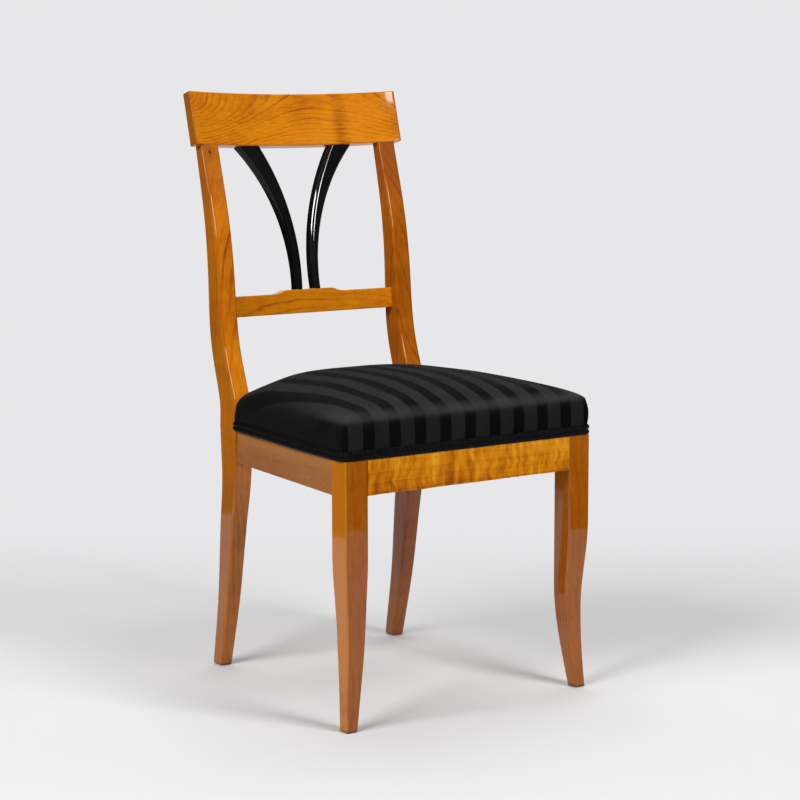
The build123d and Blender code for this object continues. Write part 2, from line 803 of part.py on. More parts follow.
def hessian_flange_plate(swell):
    """The hessian's flange on the rails, or with swell the room for it, in the seat's own frame."""
    front_y = rail_thickness - hessian_flange - swell
    rear_y = back_rail_front + hessian_flange + swell
    front_x = leg_inner - cloth_gap + swell
    rear_x = stile_inner - 2 * cloth_gap + swell
    face = outline((-front_x, front_y), (front_x, front_y), (rear_x, rear_y), (-rear_x, rear_y))
    return Pos(0, 0, rail_hidden) * extrude(face, hessian_thickness + swell, dir=(0, 0, 1))


def hessian():
    """The cloth over the springs: a low tent with a flange on the rails, in the seat's own frame."""
    return spring_chamber(hessian_thickness) + hessian_flange_plate(0) - spring_chamber(0) - stile_room()


def stuffing():
    """The hair stuffing between the hessian and the cover, in the seat's own frame."""
    bed = rail_hidden + cloth_gap
    below = Pos(0, seat_depth / 2, bed - reach / 2) * Box(reach, reach, reach)
    body = pad(cover_thickness + cloth_gap) - below
    body = body - spring_chamber(hessian_thickness + cloth_gap) - hessian_flange_plate(cloth_gap)
    return body - stile_room()


def cover():
    """The cloth cover from the tack line over the crown, in the seat's own frame."""
    outer = pad(0).faces().sort_by(Axis.Z)
    inner = pad(cover_thickness).faces().sort_by(Axis.Z)
    hem = Face(outer[0].outer_wire(), [inner[0].outer_wire()])
    skin = Solid(Shell([hem, *outer[1:], *inner[1:]]))
    holes = [tack(place, rebate_depth - tack_head_height, tack_gap) for place in cover_tack_places()]
    return skin - stile_room() - holes


def braid():
    """The band over the tack line, in the seat's own frame: front and sides first, then the back."""
    outer = extrude(pad_outline(-braid_thickness, pad_corner + braid_thickness, 0), braid_height)
    inner = extrude(pad_outline(-braid_gap, pad_corner, 0), braid_height)
    band = outer - inner - stile_room()
    return band.solids().sort_by(Axis.Y)


def group(pieces):
    """Separate solids kept together in one node."""
    return Compound(children=[solid for piece in pieces for solid in piece.solids()])


def build_nodes():
    """Every node of the chair, in its drawing frame."""
    nodes = {}
    webbing_tacks = webbing_tack_places()
    cover_tacks = cover_tack_places()
    screws = screw_places()
    frame_holes = [seat_frame * tack(p, strap_thickness, tack_gap) for p in webbing_tacks]
    frame_holes += [seat_frame * tack(p, rebate_depth - tack_head_height, tack_gap) for p in cover_tacks]
    screw_holes = [hole for p in screws for hole in both_sides(screw(p, screw_gap))]
    rebate = slab(0, room) - seat_frame * extrude(pad_outline(rebate_depth, pad_corner, 0), room)

    leg = front_leg() - front_tongue(joint_gap) - side_front_tongue(joint_gap) - rebate
    post = stile() + stile_top_tongue()
    post = post - side_rear_tongue(joint_gap) - back_tongue(joint_gap) - stay_tongue(joint_gap)
    side = side_rail() - rebate - frame_holes - screw_holes
    slat = splat() + splat_tongues()
    for hand, turn in (("right", lambda piece: piece), ("left", mirrored)):
        nodes[f"front_leg_{hand}"] = turn(leg)
        nodes[f"rear_stile_{hand}"] = turn(post)
        nodes[f"side_seat_rail_{hand}"] = turn(side)
        nodes[f"splat_{hand}"] = turn(slat)
        nodes[f"front_corner_block_{hand}"] = turn(front_block() - screw_holes)
        nodes[f"rear_corner_block_{hand}"] = turn(rear_block() - screw_holes)

    nodes["front_seat_rail"] = front_rail() - rebate - frame_holes - screw_holes
    nodes["front_rail_veneer"] = front_veneer()
    nodes["back_seat_rail"] = back_rail() - rebate - frame_holes - screw_holes
    crest_cuts = both_sides(stile_top_tongue(joint_gap))
    crest_cuts += [cut for piece in splat_tongues(joint_gap) for cut in both_sides(piece)]
    nodes["crest_rail"] = crest() - crest_cuts
    stay_cuts = [cut for piece in splat_tongues(joint_gap) for cut in both_sides(piece)]
    nodes["stay_rail"] = stay() + both_sides(stay_tongue()) - stay_cuts
    nodes["corner_block_screws"] = group([s for p in screws for s in both_sides(screw(p))])

    strap_holes = [tack(p, strap_thickness, tack_gap) for p in webbing_tacks]
    nodes["webbing_front_to_back"] = group([seat_frame * (s - strap_holes) for s in straps_along()])
    nodes["webbing_side_to_side"] = group([seat_frame * (s - strap_holes) for s in straps_across()])
    nodes["webbing_tacks"] = group([seat_frame * tack(p, strap_thickness) for p in webbing_tacks])
    spring_foot = -rail_visible + strap_thickness + spring_gap + wire_diameter / 2
    spring_head = rail_hidden + hessian_rise - spring_gap - wire_diameter / 2
    coil = spring(spring_head - spring_foot)
    print("least gap between spring turns", round(spring_self_gap(spring_head - spring_foot), 2))
    nodes["seat_springs"] = group([seat_frame * Pos(x, y, spring_foot) * coil for x, y in spring_spots()])
    nodes["spring_hessian"] = seat_frame * hessian()
    nodes["hair_stuffing"] = seat_frame * stuffing()
    nodes["seat_cover"] = seat_frame * cover()
    cover_head = rebate_depth - tack_head_height
    nodes["cover_tacks"] = group([seat_frame * tack(p, cover_head) for p in cover_tacks])
    front_band, back_band = braid()
    nodes["braid_front_and_sides"] = seat_frame * front_band
    nodes["braid_back"] = seat_frame * back_band
    return nodes


def write_nodes(nodes):
    """Move the origin to the floor under the middle of the chair, and write one file for each node."""
    os.makedirs("parts", exist_ok=True)
    boxes = [piece.bounding_box() for piece in nodes.values()]
    middle = (min(b.min.Y for b in boxes) + max(b.max.Y for b in boxes)) / 2
    print("origin is", round(middle, 2), "behind the front legs' front faces")
    for name, piece in nodes.items():
        export_step(Pos(0, -middle, 0) * piece, f"parts/{name}.step")


write_nodes(build_nodes())
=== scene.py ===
"""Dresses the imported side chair: varnished cherry, black splats and a striped, stuffed-over seat.

Sizes are in millimetres in the drawing frame: x across, y to the back from the front faces of the
front legs, z up from the floor. Finished meshes are in metres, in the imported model's own frame, and
so are the sizes in a finish.
"""
from __future__ import annotations

import json
import logging
import math
from dataclasses import dataclass, field
from enum import Enum
from typing import Callable, Sequence, Union

import bmesh
import bpy
from mathutils import Matrix, Vector

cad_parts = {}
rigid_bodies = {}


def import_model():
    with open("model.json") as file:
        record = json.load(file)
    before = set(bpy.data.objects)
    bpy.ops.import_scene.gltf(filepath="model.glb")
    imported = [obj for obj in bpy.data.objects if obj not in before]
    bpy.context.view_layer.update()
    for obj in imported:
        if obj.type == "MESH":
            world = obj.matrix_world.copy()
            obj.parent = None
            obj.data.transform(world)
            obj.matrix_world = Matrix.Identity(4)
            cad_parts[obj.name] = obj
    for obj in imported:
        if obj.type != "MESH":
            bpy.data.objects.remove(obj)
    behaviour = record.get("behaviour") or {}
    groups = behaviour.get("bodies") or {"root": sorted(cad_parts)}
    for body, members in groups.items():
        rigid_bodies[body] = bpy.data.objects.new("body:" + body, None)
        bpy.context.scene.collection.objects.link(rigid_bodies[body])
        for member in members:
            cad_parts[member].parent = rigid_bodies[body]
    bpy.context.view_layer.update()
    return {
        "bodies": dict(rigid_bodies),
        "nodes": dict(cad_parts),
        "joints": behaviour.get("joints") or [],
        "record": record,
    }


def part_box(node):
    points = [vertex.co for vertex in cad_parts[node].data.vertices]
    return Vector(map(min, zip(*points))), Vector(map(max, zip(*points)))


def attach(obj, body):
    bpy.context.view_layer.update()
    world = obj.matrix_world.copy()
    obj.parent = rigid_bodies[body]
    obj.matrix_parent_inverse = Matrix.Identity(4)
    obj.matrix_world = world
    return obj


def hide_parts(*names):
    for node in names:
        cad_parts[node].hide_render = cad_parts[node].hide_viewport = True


LOG = logging.getLogger("chair")
MM = 0.001
MERGE = 1e-6
NOTCH_MERGE = 1e-7
TOUCH = 1e-5
SHARP_ANGLE = 38.0
BODY = "root"
CAMERA_TURN = -34.96
FULL_TURN = 2 * math.pi
QUARTER_TURN = math.pi / 2
SPLINE_ROUNDS = 60
LEG_KNEE = 252.0
LEG_HOLLOW_HEIGHT = 125.0
LEG_HOLLOW_DEPTH = 7.0
LEG_TOE = 2.0

Pair = tuple[float, float]
Triple = tuple[float, float, float]
Colour = Triple
Line = Callable[[float], float]
Mover = Callable[[Vector], Vector]
Value = Union[float, int, "Signal"]
Axes = Sequence["Signal"]
Stops = Sequence[tuple[float, Colour]]
Material = bpy.types.Material
Piece = bpy.types.Object
Edge = bmesh.types.BMEdge
Vert = bmesh.types.BMVert


def clamp01(value: float) -> float:
    """Limits a number to the range from 0 to 1."""
    return max(0.0, min(1.0, value))


def smooth(value: float, start: float = 0.0, end: float = 1.0) -> float:
    """A smooth step of a number, from 0 at start to 1 at end."""
    share = clamp01((value - start) / (end - start))
    return share * share * (3.0 - 2.0 * share)


def mix(start: float, end: float, share: float) -> float:
    """A number part of the way from one value to another."""
    return start + (end - start) * share


def hollow(x: float, length: float, sag: float) -> float:
    """How far a hollowed board stands back at x, from the line between its ends."""
    radius = (length * length / 4 + sag * sag) / (2 * sag)
    return sag - radius + math.sqrt(radius * radius - x * x)


def hermite(start: Pair, end: Pair, leans: Pair) -> Line:
    """Makes a cubic line between two stations.

    Args:
        start: First station as (offset, height).
        end: Last station as (offset, height).
        leans: Slopes at the two stations, as offset over height.

    Returns:
        A function from height to offset.
    """
    run = end[1] - start[1]

    def offset(height: float) -> float:
        """The line's offset at a height."""
        t = clamp01((height - start[1]) / run)
        rise = (2 * t ** 3 - 3 * t ** 2 + 1) * start[0] + (3 * t ** 2 - 2 * t ** 3) * end[0]
        bend = (t ** 3 - 2 * t ** 2 + t) * leans[0] + (t ** 3 - t ** 2) * leans[1]
        return rise + run * bend

    return offset


def clamped_spline(stations: Sequence[Pair], leans: Pair) -> Line:
    """Makes a smooth line through several stations.

    Args:
        stations: Points as (offset, height), from the lowest to the highest.
        leans: Slopes at the two ends, as offset over height.

    Returns:
        A function from height to offset.
    """
    count = len(stations)
    slopes = [leans[0]] + [0.0] * (count - 2) + [leans[1]]
    for _ in range(SPLINE_ROUNDS):
        for i in range(1, count - 1):
            (x0, z0), (x1, z1), (x2, z2) = stations[i - 1:i + 2]
            low, high = z1 - z0, z2 - z1
            pull = 3 * ((x1 - x0) / low ** 2 + (x2 - x1) / high ** 2)
            slopes[i] = (pull - slopes[i - 1] / low - slopes[i + 1] / high) / (2 / low + 2 / high)
    pieces = [hermite(*stations[i:i + 2], slopes[i:i + 2]) for i in range(count - 1)]

    def offset(height: float) -> float:
        """The line's offset at a height."""
        for i in range(count - 2):
            if height < stations[i + 1][1]:
                return pieces[i](height)
        return pieces[-1](height)

    return offset


def arc_through(first: Pair, middle: Pair, last: Pair) -> Line:
    """Makes the arc of a circle through three points.

    Args:
        first: A point as (offset, height).
        middle: A second point.
        last: A third point.

    Returns:
        A function from height to offset, on the side of the circle that holds the points.
    """
    (ax, ay), (bx, by), (cx, cy) = first, middle, last
    twice = 2 * (ax * (by - cy) + bx * (cy - ay) + cx * (ay - by))
    sa, sb, sc = (x * x + y * y for x, y in (first, middle, last))
    ox = (sa * (by - cy) + sb * (cy - ay) + sc * (ay - by)) / twice
    oy = (sa * (cx - bx) + sb * (ax - cx) + sc * (bx - ax)) / twice
    radius = math.hypot(ax - ox, ay - oy)
    side = 1.0 if bx > ox else -1.0

    def offset(height: float) -> float:
        """The arc's offset at a height."""
        return ox + side * math.sqrt(max(0.0, radius ** 2 - (height - oy) ** 2))

    return offset


class Hand(Enum):
    """Which of a pair a piece is, as seen from the front."""

    RIGHT = 1
    LEFT = -1

    @property
    def word(self) -> str:
        """The hand as it stands in a piece's name."""
        return self.name.lower()


class Grain(Enum):
    """The way a board's grain runs, as the order of its coordinates: along, across, through."""

    ACROSS_CHAIR = (0, 2, 1)
    FRONT_TO_BACK = (1, 2, 0)
    UPRIGHT = (2, 0, 1)


class Side(Enum):
    """The sides of the seat, in the order in which a ring of its cloth runs round it."""

    FRONT = 0
    RIGHT = 1
    BACK = 2
    LEFT = 3


Hem = list[tuple[Vert, Side, float]]


def math_operator(operation: str, swapped: bool = False) -> Callable[["Signal", Value], "Signal"]:
    """Makes one of Python's operators out of a Math node.

    Args:
        operation: The node's operation.
        swapped: Whether the other value comes first.

    Returns:
        The operator's method.
    """

    def apply(self: "Signal", other: Value) -> "Signal":
        """Adds the Math node."""
        return self.calc(operation, *((other, self) if swapped else (self, other)))

    return apply


class Signal:
    """A socket of a node tree, on which Python's operators add Math nodes."""

    __add__ = __radd__ = math_operator("ADD")
    __sub__ = math_operator("SUBTRACT")
    __rsub__ = math_operator("SUBTRACT", swapped=True)
    __mul__ = __rmul__ = math_operator("MULTIPLY")
    __truediv__ = math_operator("DIVIDE")

    def __init__(self, graph: "Graph", socket: bpy.types.NodeSocket) -> None:
        """Wraps one output socket of a graph."""
        self.graph = graph
        self.socket = socket

    def calc(self, operation: str, *values: Value) -> "Signal":
        """Adds one Math node on the given values."""
        return self.graph.node("ShaderNodeMath", {"operation": operation}, dict(enumerate(values)))

    def fract(self) -> "Signal":
        """What is left over a whole number."""
        return self.calc("FRACT", self)

    def size(self) -> "Signal":
        """Absolute value."""
        return self.calc("ABSOLUTE", self)

    def root(self) -> "Signal":
        """Square root."""
        return self.calc("SQRT", self)

    def above(self, level: float) -> "Signal":
        """The greater of the value and a level."""
        return self.calc("MAXIMUM", self, level)

    def wave(self) -> "Signal":
        """A wave from 0 to 1 and back, once for every whole number."""
        return self.calc("SINE", self * FULL_TURN) * 0.5 + 0.5

    def band(self, low: float, high: float) -> "Signal":
        """A smooth step from 0 at low to 1 at high."""
        settings = {"interpolation_type": "SMOOTHSTEP"}
        return self.graph.node("ShaderNodeMapRange", settings, {0: self, 1: low, 2: high})

    def ridge(self, start: float, peak: float) -> "Signal":
        """A ridge that climbs from start to a peak and falls again up to 1."""
        return self.band(start, peak) * (1 - self.band(peak, 1.0))


class Graph:
    """A material's node tree, to which named nodes and expressions are added."""

    def __init__(self, name: str) -> None:
        """Starts a material with one shader and nothing linked to it."""
        self.material = bpy.data.materials.new(name)
        self.material.use_nodes = True
        self.tree = self.material.node_tree
        self.shader = self.tree.nodes["Principled BSDF"]

    def node(self, kind: str, settings: dict, inputs: dict, output: Union[int, str] = 0) -> Signal:
        """Adds a node.

        Args:
            kind: The node's type.
            settings: Its properties, and under "stops" a ramp's stops, all set first.
            inputs: Values or signals of its sockets, by name or number.
            output: Which of its outputs to return.

        Returns:
            The chosen output.
        """
        made = self.tree.nodes.new(kind)
        for key, value in settings.items():
            if key == "stops":
                self._set_stops(made, value)
            else:
                setattr(made, key, value)
        for key, value in inputs.items():
            self._feed(made.inputs[key], value)
        return Signal(self, made.outputs[output])

    @staticmethod
    def _set_stops(made: bpy.types.Node, stops: Stops) -> None:
        """Sets the stops of a colour ramp.

        Args:
            made: The ramp's node.
            stops: Its stops, each a place from 0 to 1 and a colour.
        """
        elements = made.color_ramp.elements
        while len(elements) < len(stops):
            elements.new(1.0)
        for element, (place, colour) in zip(elements, stops):
            element.position = place
            element.color = (*colour, 1.0)

    def _feed(self, socket: bpy.types.NodeSocket, value: object) -> None:
        """Links a signal to a socket, or sets the socket's own value.

        Args:
            socket: The socket.
            value: A signal, a colour or a plain value.
        """
        if isinstance(value, Signal):
            self.tree.links.new(value.socket, socket)
        elif isinstance(value, tuple) and socket.type == "RGBA":
            socket.default_value = (*value, 1.0)
        else:
            socket.default_value = value

    def set(self, **inputs: object) -> None:
        """Feeds the shader's sockets, each named with underscores for spaces."""
        for key, value in inputs.items():
            self._feed(self.shader.inputs[key.replace("_", " ")], value)

    def object_axes(self) -> tuple[Signal, Signal, Signal]:
        """The object coordinates x, y and z, in metres."""
        place = self.node("ShaderNodeTexCoord", {}, {}, "Object")
        first = self.node("ShaderNodeSeparateXYZ", {}, {0: place})
        outputs = first.socket.node.outputs
        return first, Signal(self, outputs[1]), Signal(self, outputs[2])

    def attribute(self, name: str) -> Signal:
        """A number that the vertices of the piece hold."""
        return self.node("ShaderNodeAttribute", {"attribute_name": name}, {}, "Fac")

    def join(self, x: Value, y: Value, z: Value) -> Signal:
        """A vector of three values."""
        return self.node("ShaderNodeCombineXYZ", {}, {0: x, 1: y, 2: z})

    def noise(
        self,
        axes: Sequence[Value],
        scales: Union[float, Sequence[float]],
        detail: float = 2.0,
        rough: float = 0.5,
    ) -> Signal:
        """Smooth noise from about 0 to 1.

        Args:
            axes: The three values that it is read at.
            scales: Its scale along each of them, or along all.
            detail: How many finer layers are added.
            rough: How strong these are.

        Returns:
            The noise's value.
        """
        each = scales if isinstance(scales, tuple) else (scales,) * 3
        place = self.join(*(axis * scale for axis, scale in zip(axes, each)))
        inputs = {"Vector": place, "Scale": 1.0, "Detail": detail, "Roughness": rough}
        return self.node("ShaderNodeTexNoise", {"noise_dimensions": "3D"}, inputs)

    def blend(self, share: Value, first: object, second: object, how: str = "MIX") -> Signal:
        """Mixes two colours.

        Args:
            share: How much of the second colour there is.
            first: A colour or a signal.
            second: A colour or a signal.
            how: The way of mixing.

        Returns:
            The mixed colour.
        """
        settings = {"data_type": "RGBA", "blend_type": how, "clamp_factor": True}
        return self.node("ShaderNodeMix", settings, {0: share, 6: first, 7: second}, 2)

    def ramp(self, share: Signal, stops: Stops) -> Signal:
        """A colour ramp with the given stops."""
        return self.node("ShaderNodeValToRGB", {"stops": stops}, {0: share})

    def bump(self, height: Signal, strength: float, depth: float) -> Signal:
        """A bumped normal from a height, with its strength and its depth in metres."""
        inputs = {"Height": height, "Strength": strength, "Distance": depth}
        return self.node("ShaderNodeBump", {}, inputs, "Normal")


VARNISH = {"Specular_IOR_Level": 0.03, "Coat_Weight": 1.0, "Coat_IOR": 1.47}


@dataclass(frozen=True)
class Tint:
    """Another colour that comes in past a distance from the middle, along one object axis."""

    axis: int
    start: float
    end: float
    share: float
    colour: Colour
    blur: float = 0.001


@dataclass(frozen=True)
class CherryFinish:
    """Cherry under clear gloss varnish.

    Its lines come from growth rings about a pith line that leans to the board: a board that is cut
    along the rings shows arches, and one that is cut across them shows straight lines. Broad,
    fibre, hair, mottle, fleck and flame are the shares of its layers of finer grain.
    """

    name: str
    grain: Grain
    pale: Colour
    warm: Colour
    deep: Colour
    pith: Pair = (0.05, 0.16)
    lean: Pair = (0.02, 0.02)
    wander: float = 0.034
    ripple: float = 0.0024
    ring_pitch: float = 0.0062
    ring_strength: float = 0.22
    line_start: float = 0.5
    line_peak: float = 0.94
    faint: float = 0.12
    flame: float = 0.30
    flame_pitch: float = 0.03
    broad: float = 0.8
    fibre: float = 0.42
    hair: float = 0.3
    mottle: float = 0.3
    fleck: float = 0.3
    seed: float = 0.0
    coat_roughness: float = 0.05
    scuffed: Colour = (0.045, 0.020, 0.008)
    scuff_span: Pair = (0.0008, 0.006)
    scuff_share: float = 0.75
    knot: Union[Triple, None] = None
    knot_heart: Colour = (0.025, 0.010, 0.004)
    tints: tuple[Tint, ...] = ()

    def ring_distance(self, graph: Graph, board: Axes) -> Signal:
        """How far a point is from the pith line, in metres.

        Args:
            graph: The material's graph.
            board: The places along the grain, across the board and through it.

        Returns:
            The distance.
        """
        along, across, through = board
        slow = graph.noise((along + self.seed, across, through), (5, 12, 12)) - 0.5
        up = across - self.pith[0] + along * self.lean[0] + slow * self.wander
        deep = through - self.pith[1] + along * self.lean[1]
        return (up * up + deep * deep).root()

    def shadow(self, graph: Graph, axes: Axes) -> Value:
        """How much darker the wood is at a place, over its rings and fibres."""
        return 0.0

    def set_in(self, axes: Axes) -> Value:
        """How far the face lies in from its outer line, which the tints then follow."""
        return 0.0

    def make(self) -> Material:
        """Builds the material.

        Returns:
            The finished material.
        """
        graph = Graph(self.name)
        axes = graph.object_axes()
        along, across, through = (axes[i] for i in self.grain.value)
        distance = self.ring_distance(graph, (along, across, through))
        board = (along + self.seed, across, through)
        ripple = graph.noise(board, (30, 80, 80)) - 0.5
        rings = (distance + ripple * self.ripple) / self.ring_pitch
        year = graph.noise((rings, board[0], 0.5), (0.83, 5, 1), detail=1.0).band(0.32, 0.72)
        patch = graph.noise(board, (13, 28, 28), detail=1.0).band(0.25, 0.7)
        late = rings.fract().ridge(self.line_start, self.line_peak)
        late = late * (self.faint + year * (1 - self.faint)) * (0.35 + patch * 0.65)
        fibre = graph.noise(board, (11, 420, 420), detail=3.0, rough=0.6)
        mottle = graph.noise(board, (90, 190, 190)) - 0.5
        tone = 0.5 - late * self.ring_strength - self.shadow(graph, axes)
        tone = tone + (fibre - 0.5) * self.fibre + mottle * self.mottle
        tone = tone + (graph.noise(board, (60, 2300, 2300), rough=0.6) - 0.5) * self.hair
        tone = tone + (graph.noise(board, (1 / self.flame_pitch, 8, 8)) - 0.5) * self.flame
        tone = tone + (graph.noise(board, (3, 11, 11)) - 0.5) * self.broad
        colour = graph.ramp(tone, [(0.05, self.deep), (0.48, self.warm), (0.9, self.pale)])
        fleck = graph.noise(board, (150, 1500, 1500), detail=1.0).band(0.68, 0.78)
        colour = graph.blend(fleck * self.fleck, colour, self.deep)
        # Some tints are the wood's own colour, others painted light or shade on one face
        for tint in self.tints:
            place = axes[tint.axis].size() + self.set_in(axes) + mottle * tint.blur
            reach = place.band(tint.start, tint.end)
            colour = graph.blend(reach * tint.share, colour, tint.colour)
        if self.knot is not None:
            colour = self.add_knot(graph, colour, axes)
        # darker over the lowest few millimetres of an upright piece, at the floor
        if self.grain is Grain.UPRIGHT:
            near_floor = 1 - (axes[2] + mottle * 0.004).band(*self.scuff_span)
            colour = graph.blend(near_floor * self.scuff_share, colour, self.scuffed)
        skin = graph.noise(board, (22, 60, 60))
        graph.set(
            Base_Color=colour,
            Roughness=0.5 + (fibre - 0.5) * 0.2 + late * 0.1,
            Normal=graph.bump(skin * 0.75 + fibre * 0.25, 0.1, 0.0004),
            Coat_Roughness=self.coat_roughness,
            **VARNISH,
        )
        return graph.material

    def add_knot(self, graph: Graph, colour: Signal, axes: Axes) -> Signal:
        """Darkens a colour round a small pin knot.

        Args:
            graph: The material's graph.
            colour: The colour to darken.
            axes: The object coordinates.

        Returns:
            The darkened colour.
        """
        x, y, z = (axis - place for axis, place in zip(axes, self.knot))
        rough = graph.noise(axes, 400) - 0.5
        spread = (x * x + y * y * 0.05 + z * z * 0.45).root() + rough * 0.0016
        halo = graph.blend((1 - spread.band(0.0025, 0.012)) * 0.45, colour, self.deep)
        return graph.blend(1 - spread.band(0.0012, 0.0028), halo, self.knot_heart)


@dataclass(frozen=True)
class CrestCherry(CherryFinish):
    """The crest's cherry: nested arches that open to the left end, over long, bowed lines."""

    arch_start: float = -0.208
    arch_slope: float = 0.5
    arch_reach: float = 0.11
    arch_height: float = 0.892
    arch_wander: float = 0.012
    climb: float = 0.020
    climb_span: Pair = (-0.16, 0.03)
    bow_start: float = 0.05
    bow: float = 0.42
    face: float = 0.205
    streak: float = 0.086
    streak_half: float = 0.021
    streak_span: Pair = (0.838, 0.882)
    streak_strength: float = 0.27
    dim_span: Pair = (0.855, 0.885)
    # slope: how fast the painted shade darkens the board towards its right end
    slope: float = 0.7

    def ring_distance(self, graph: Graph, board: Axes) -> Signal:
        """How far a point is from a pith line that dives and climbs from the left end, in metres.

        Args:
            graph: The material's graph.
            board: The places along the grain, across the board and through it.

        Returns:
            The distance.
        """
        along, across, through = board
        slow = graph.noise(board, (9, 22, 22)) - 0.5
        run = along - self.arch_start
        dive = run * self.arch_slope / (1 + run / self.arch_reach) + through - self.face
        past = (along - self.bow_start).above(0.0)
        climb = along.band(*self.climb_span) * self.climb
        pith = self.arch_height + climb - past * past * self.bow
        up = across - pith + slow * self.arch_wander
        return (up * up + dive * dive).root()

    def shadow(self, graph: Graph, axes: Axes) -> Signal:
        """The dark streak in the lower half, and a painted shade that turns the board from light at
        the left to dark.

        Args:
            graph: The material's graph.
            axes: The object coordinates.

        Returns:
            How much darker the wood is.
        """
        x, _, z = axes
        sway = (graph.noise((x, 0.5, z), (30, 1, 60)) - 0.5) * 0.024
        streak = 1 - (x + sway - self.streak).size().band(0.001, self.streak_half)
        dim = graph.noise((x, 0.5, z), (16, 1, 34)).band(0.42, 0.72)
        high = z.band(*self.dim_span) * (1 - (x - self.streak / 2).size().band(0.05, 0.13))
        streak = streak * (1 - z.band(*self.streak_span)) * self.streak_strength
        # x * slope is painted shade, darker towards the right end; the streak and dim are figure
        return streak + dim * (0.12 + high * 0.2) + x * self.slope


@dataclass(frozen=True)
class LegCherry(CherryFinish):
    """The front legs' cherry, whose painted light on the outer face follows the hollow of that face.
    """

    def set_in(self, axes: Axes) -> Signal:
        """How far the hollowed face lies in from the leg's outer line.

        Args:
            axes: The object coordinates.

        Returns:
            The distance in metres.
        """
        low = 1 - axes[2].band(0.0, LEG_HOLLOW_HEIGHT * MM)
        below_knee = 1 - axes[2].band(LEG_HOLLOW_HEIGHT * MM, LEG_KNEE * MM)
        return below_knee * (LEG_HOLLOW_DEPTH * MM) - low * ((LEG_HOLLOW_DEPTH - LEG_TOE) * MM)


@dataclass(frozen=True)
class FiguredVeneer:
    """Figured cherry veneer under gloss varnish: upright bars of light and shade, level grain."""

    name: str = "figured_cherry_veneer"
    pale: Colour = (0.90, 0.40, 0.020)
    warm: Colour = (0.68, 0.220, 0.003)
    deep: Colour = (0.34, 0.082, 0.001)
    bar_pitch: float = 0.0078
    bar_sway: float = 0.02
    ring_pitch: float = 0.0135
    middle: float = 0.3475
    lift: float = 4.0

    def make(self) -> Material:
        """Builds the material.

        Returns:
            The finished material.
        """
        graph = Graph(self.name)
        axes = x, y, z = graph.object_axes()
        sway = graph.noise(axes, (9, 9, 38)) - 0.5
        swayed = (x + sway * self.bar_sway, y, z)
        bars = graph.noise(swayed, (1 / self.bar_pitch, 6, 34), detail=3.0)
        wide = graph.noise(axes, (22, 6, 9), detail=1.0)
        level = graph.noise(axes, (7, 300, 420), detail=3.0, rough=0.6)
        ring_place = z + sway * 0.006 + (graph.noise(axes, (5, 1, 2)) - 0.5) * 0.02
        line = (ring_place / self.ring_pitch).fract().ridge(0.55, 0.95)
        tone = 0.43 + (bars - 0.5) * 1.2 + (wide - 0.5) * 0.6 + (level - 0.5) * 0.3 - line * 0.1
        tone = tone + (z - self.middle) * self.lift
        graph.set(
            Base_Color=graph.ramp(tone, [(0.1, self.deep), (0.46, self.warm), (0.84, self.pale)]),
            Roughness=0.5 + (bars - 0.5) * 0.2,
            Normal=graph.bump(level * 0.5 + bars * 0.5, 0.08, 0.0004),
            Coat_Roughness=0.06,
            **VARNISH,
        )
        return graph.material


@dataclass(frozen=True)
class EbonisedFinish:
    """Black stained wood under a deep polish, as deep as the polish attribute says."""

    name: str = "ebonised_polish"
    black: Colour = (0.0030, 0.0029, 0.0030)
    worn: Colour = (0.0055, 0.0052, 0.0050)

    def make(self) -> Material:
        """Builds the material.

        Returns:
            The finished material.
        """
        graph = Graph(self.name)
        axes = graph.object_axes()
        fibre = graph.noise(axes, (500, 500, 12), detail=3.0)
        cloud = graph.noise(axes, (40, 40, 14))
        wear = (fibre * 0.5 + cloud * 0.5).band(0.45, 0.72)
        graph.set(
            Base_Color=graph.blend(wear, self.black, self.worn),
            Roughness=0.3 + cloud * 0.14,
            Normal=graph.bump(cloud * 0.8 + fibre * 0.2, 0.008, 0.0004),
            Specular_IOR_Level=0.05,
            Coat_Weight=graph.attribute("polish"),
            Coat_Roughness=0.04,
            Coat_IOR=1.85,
        )
        return graph.material


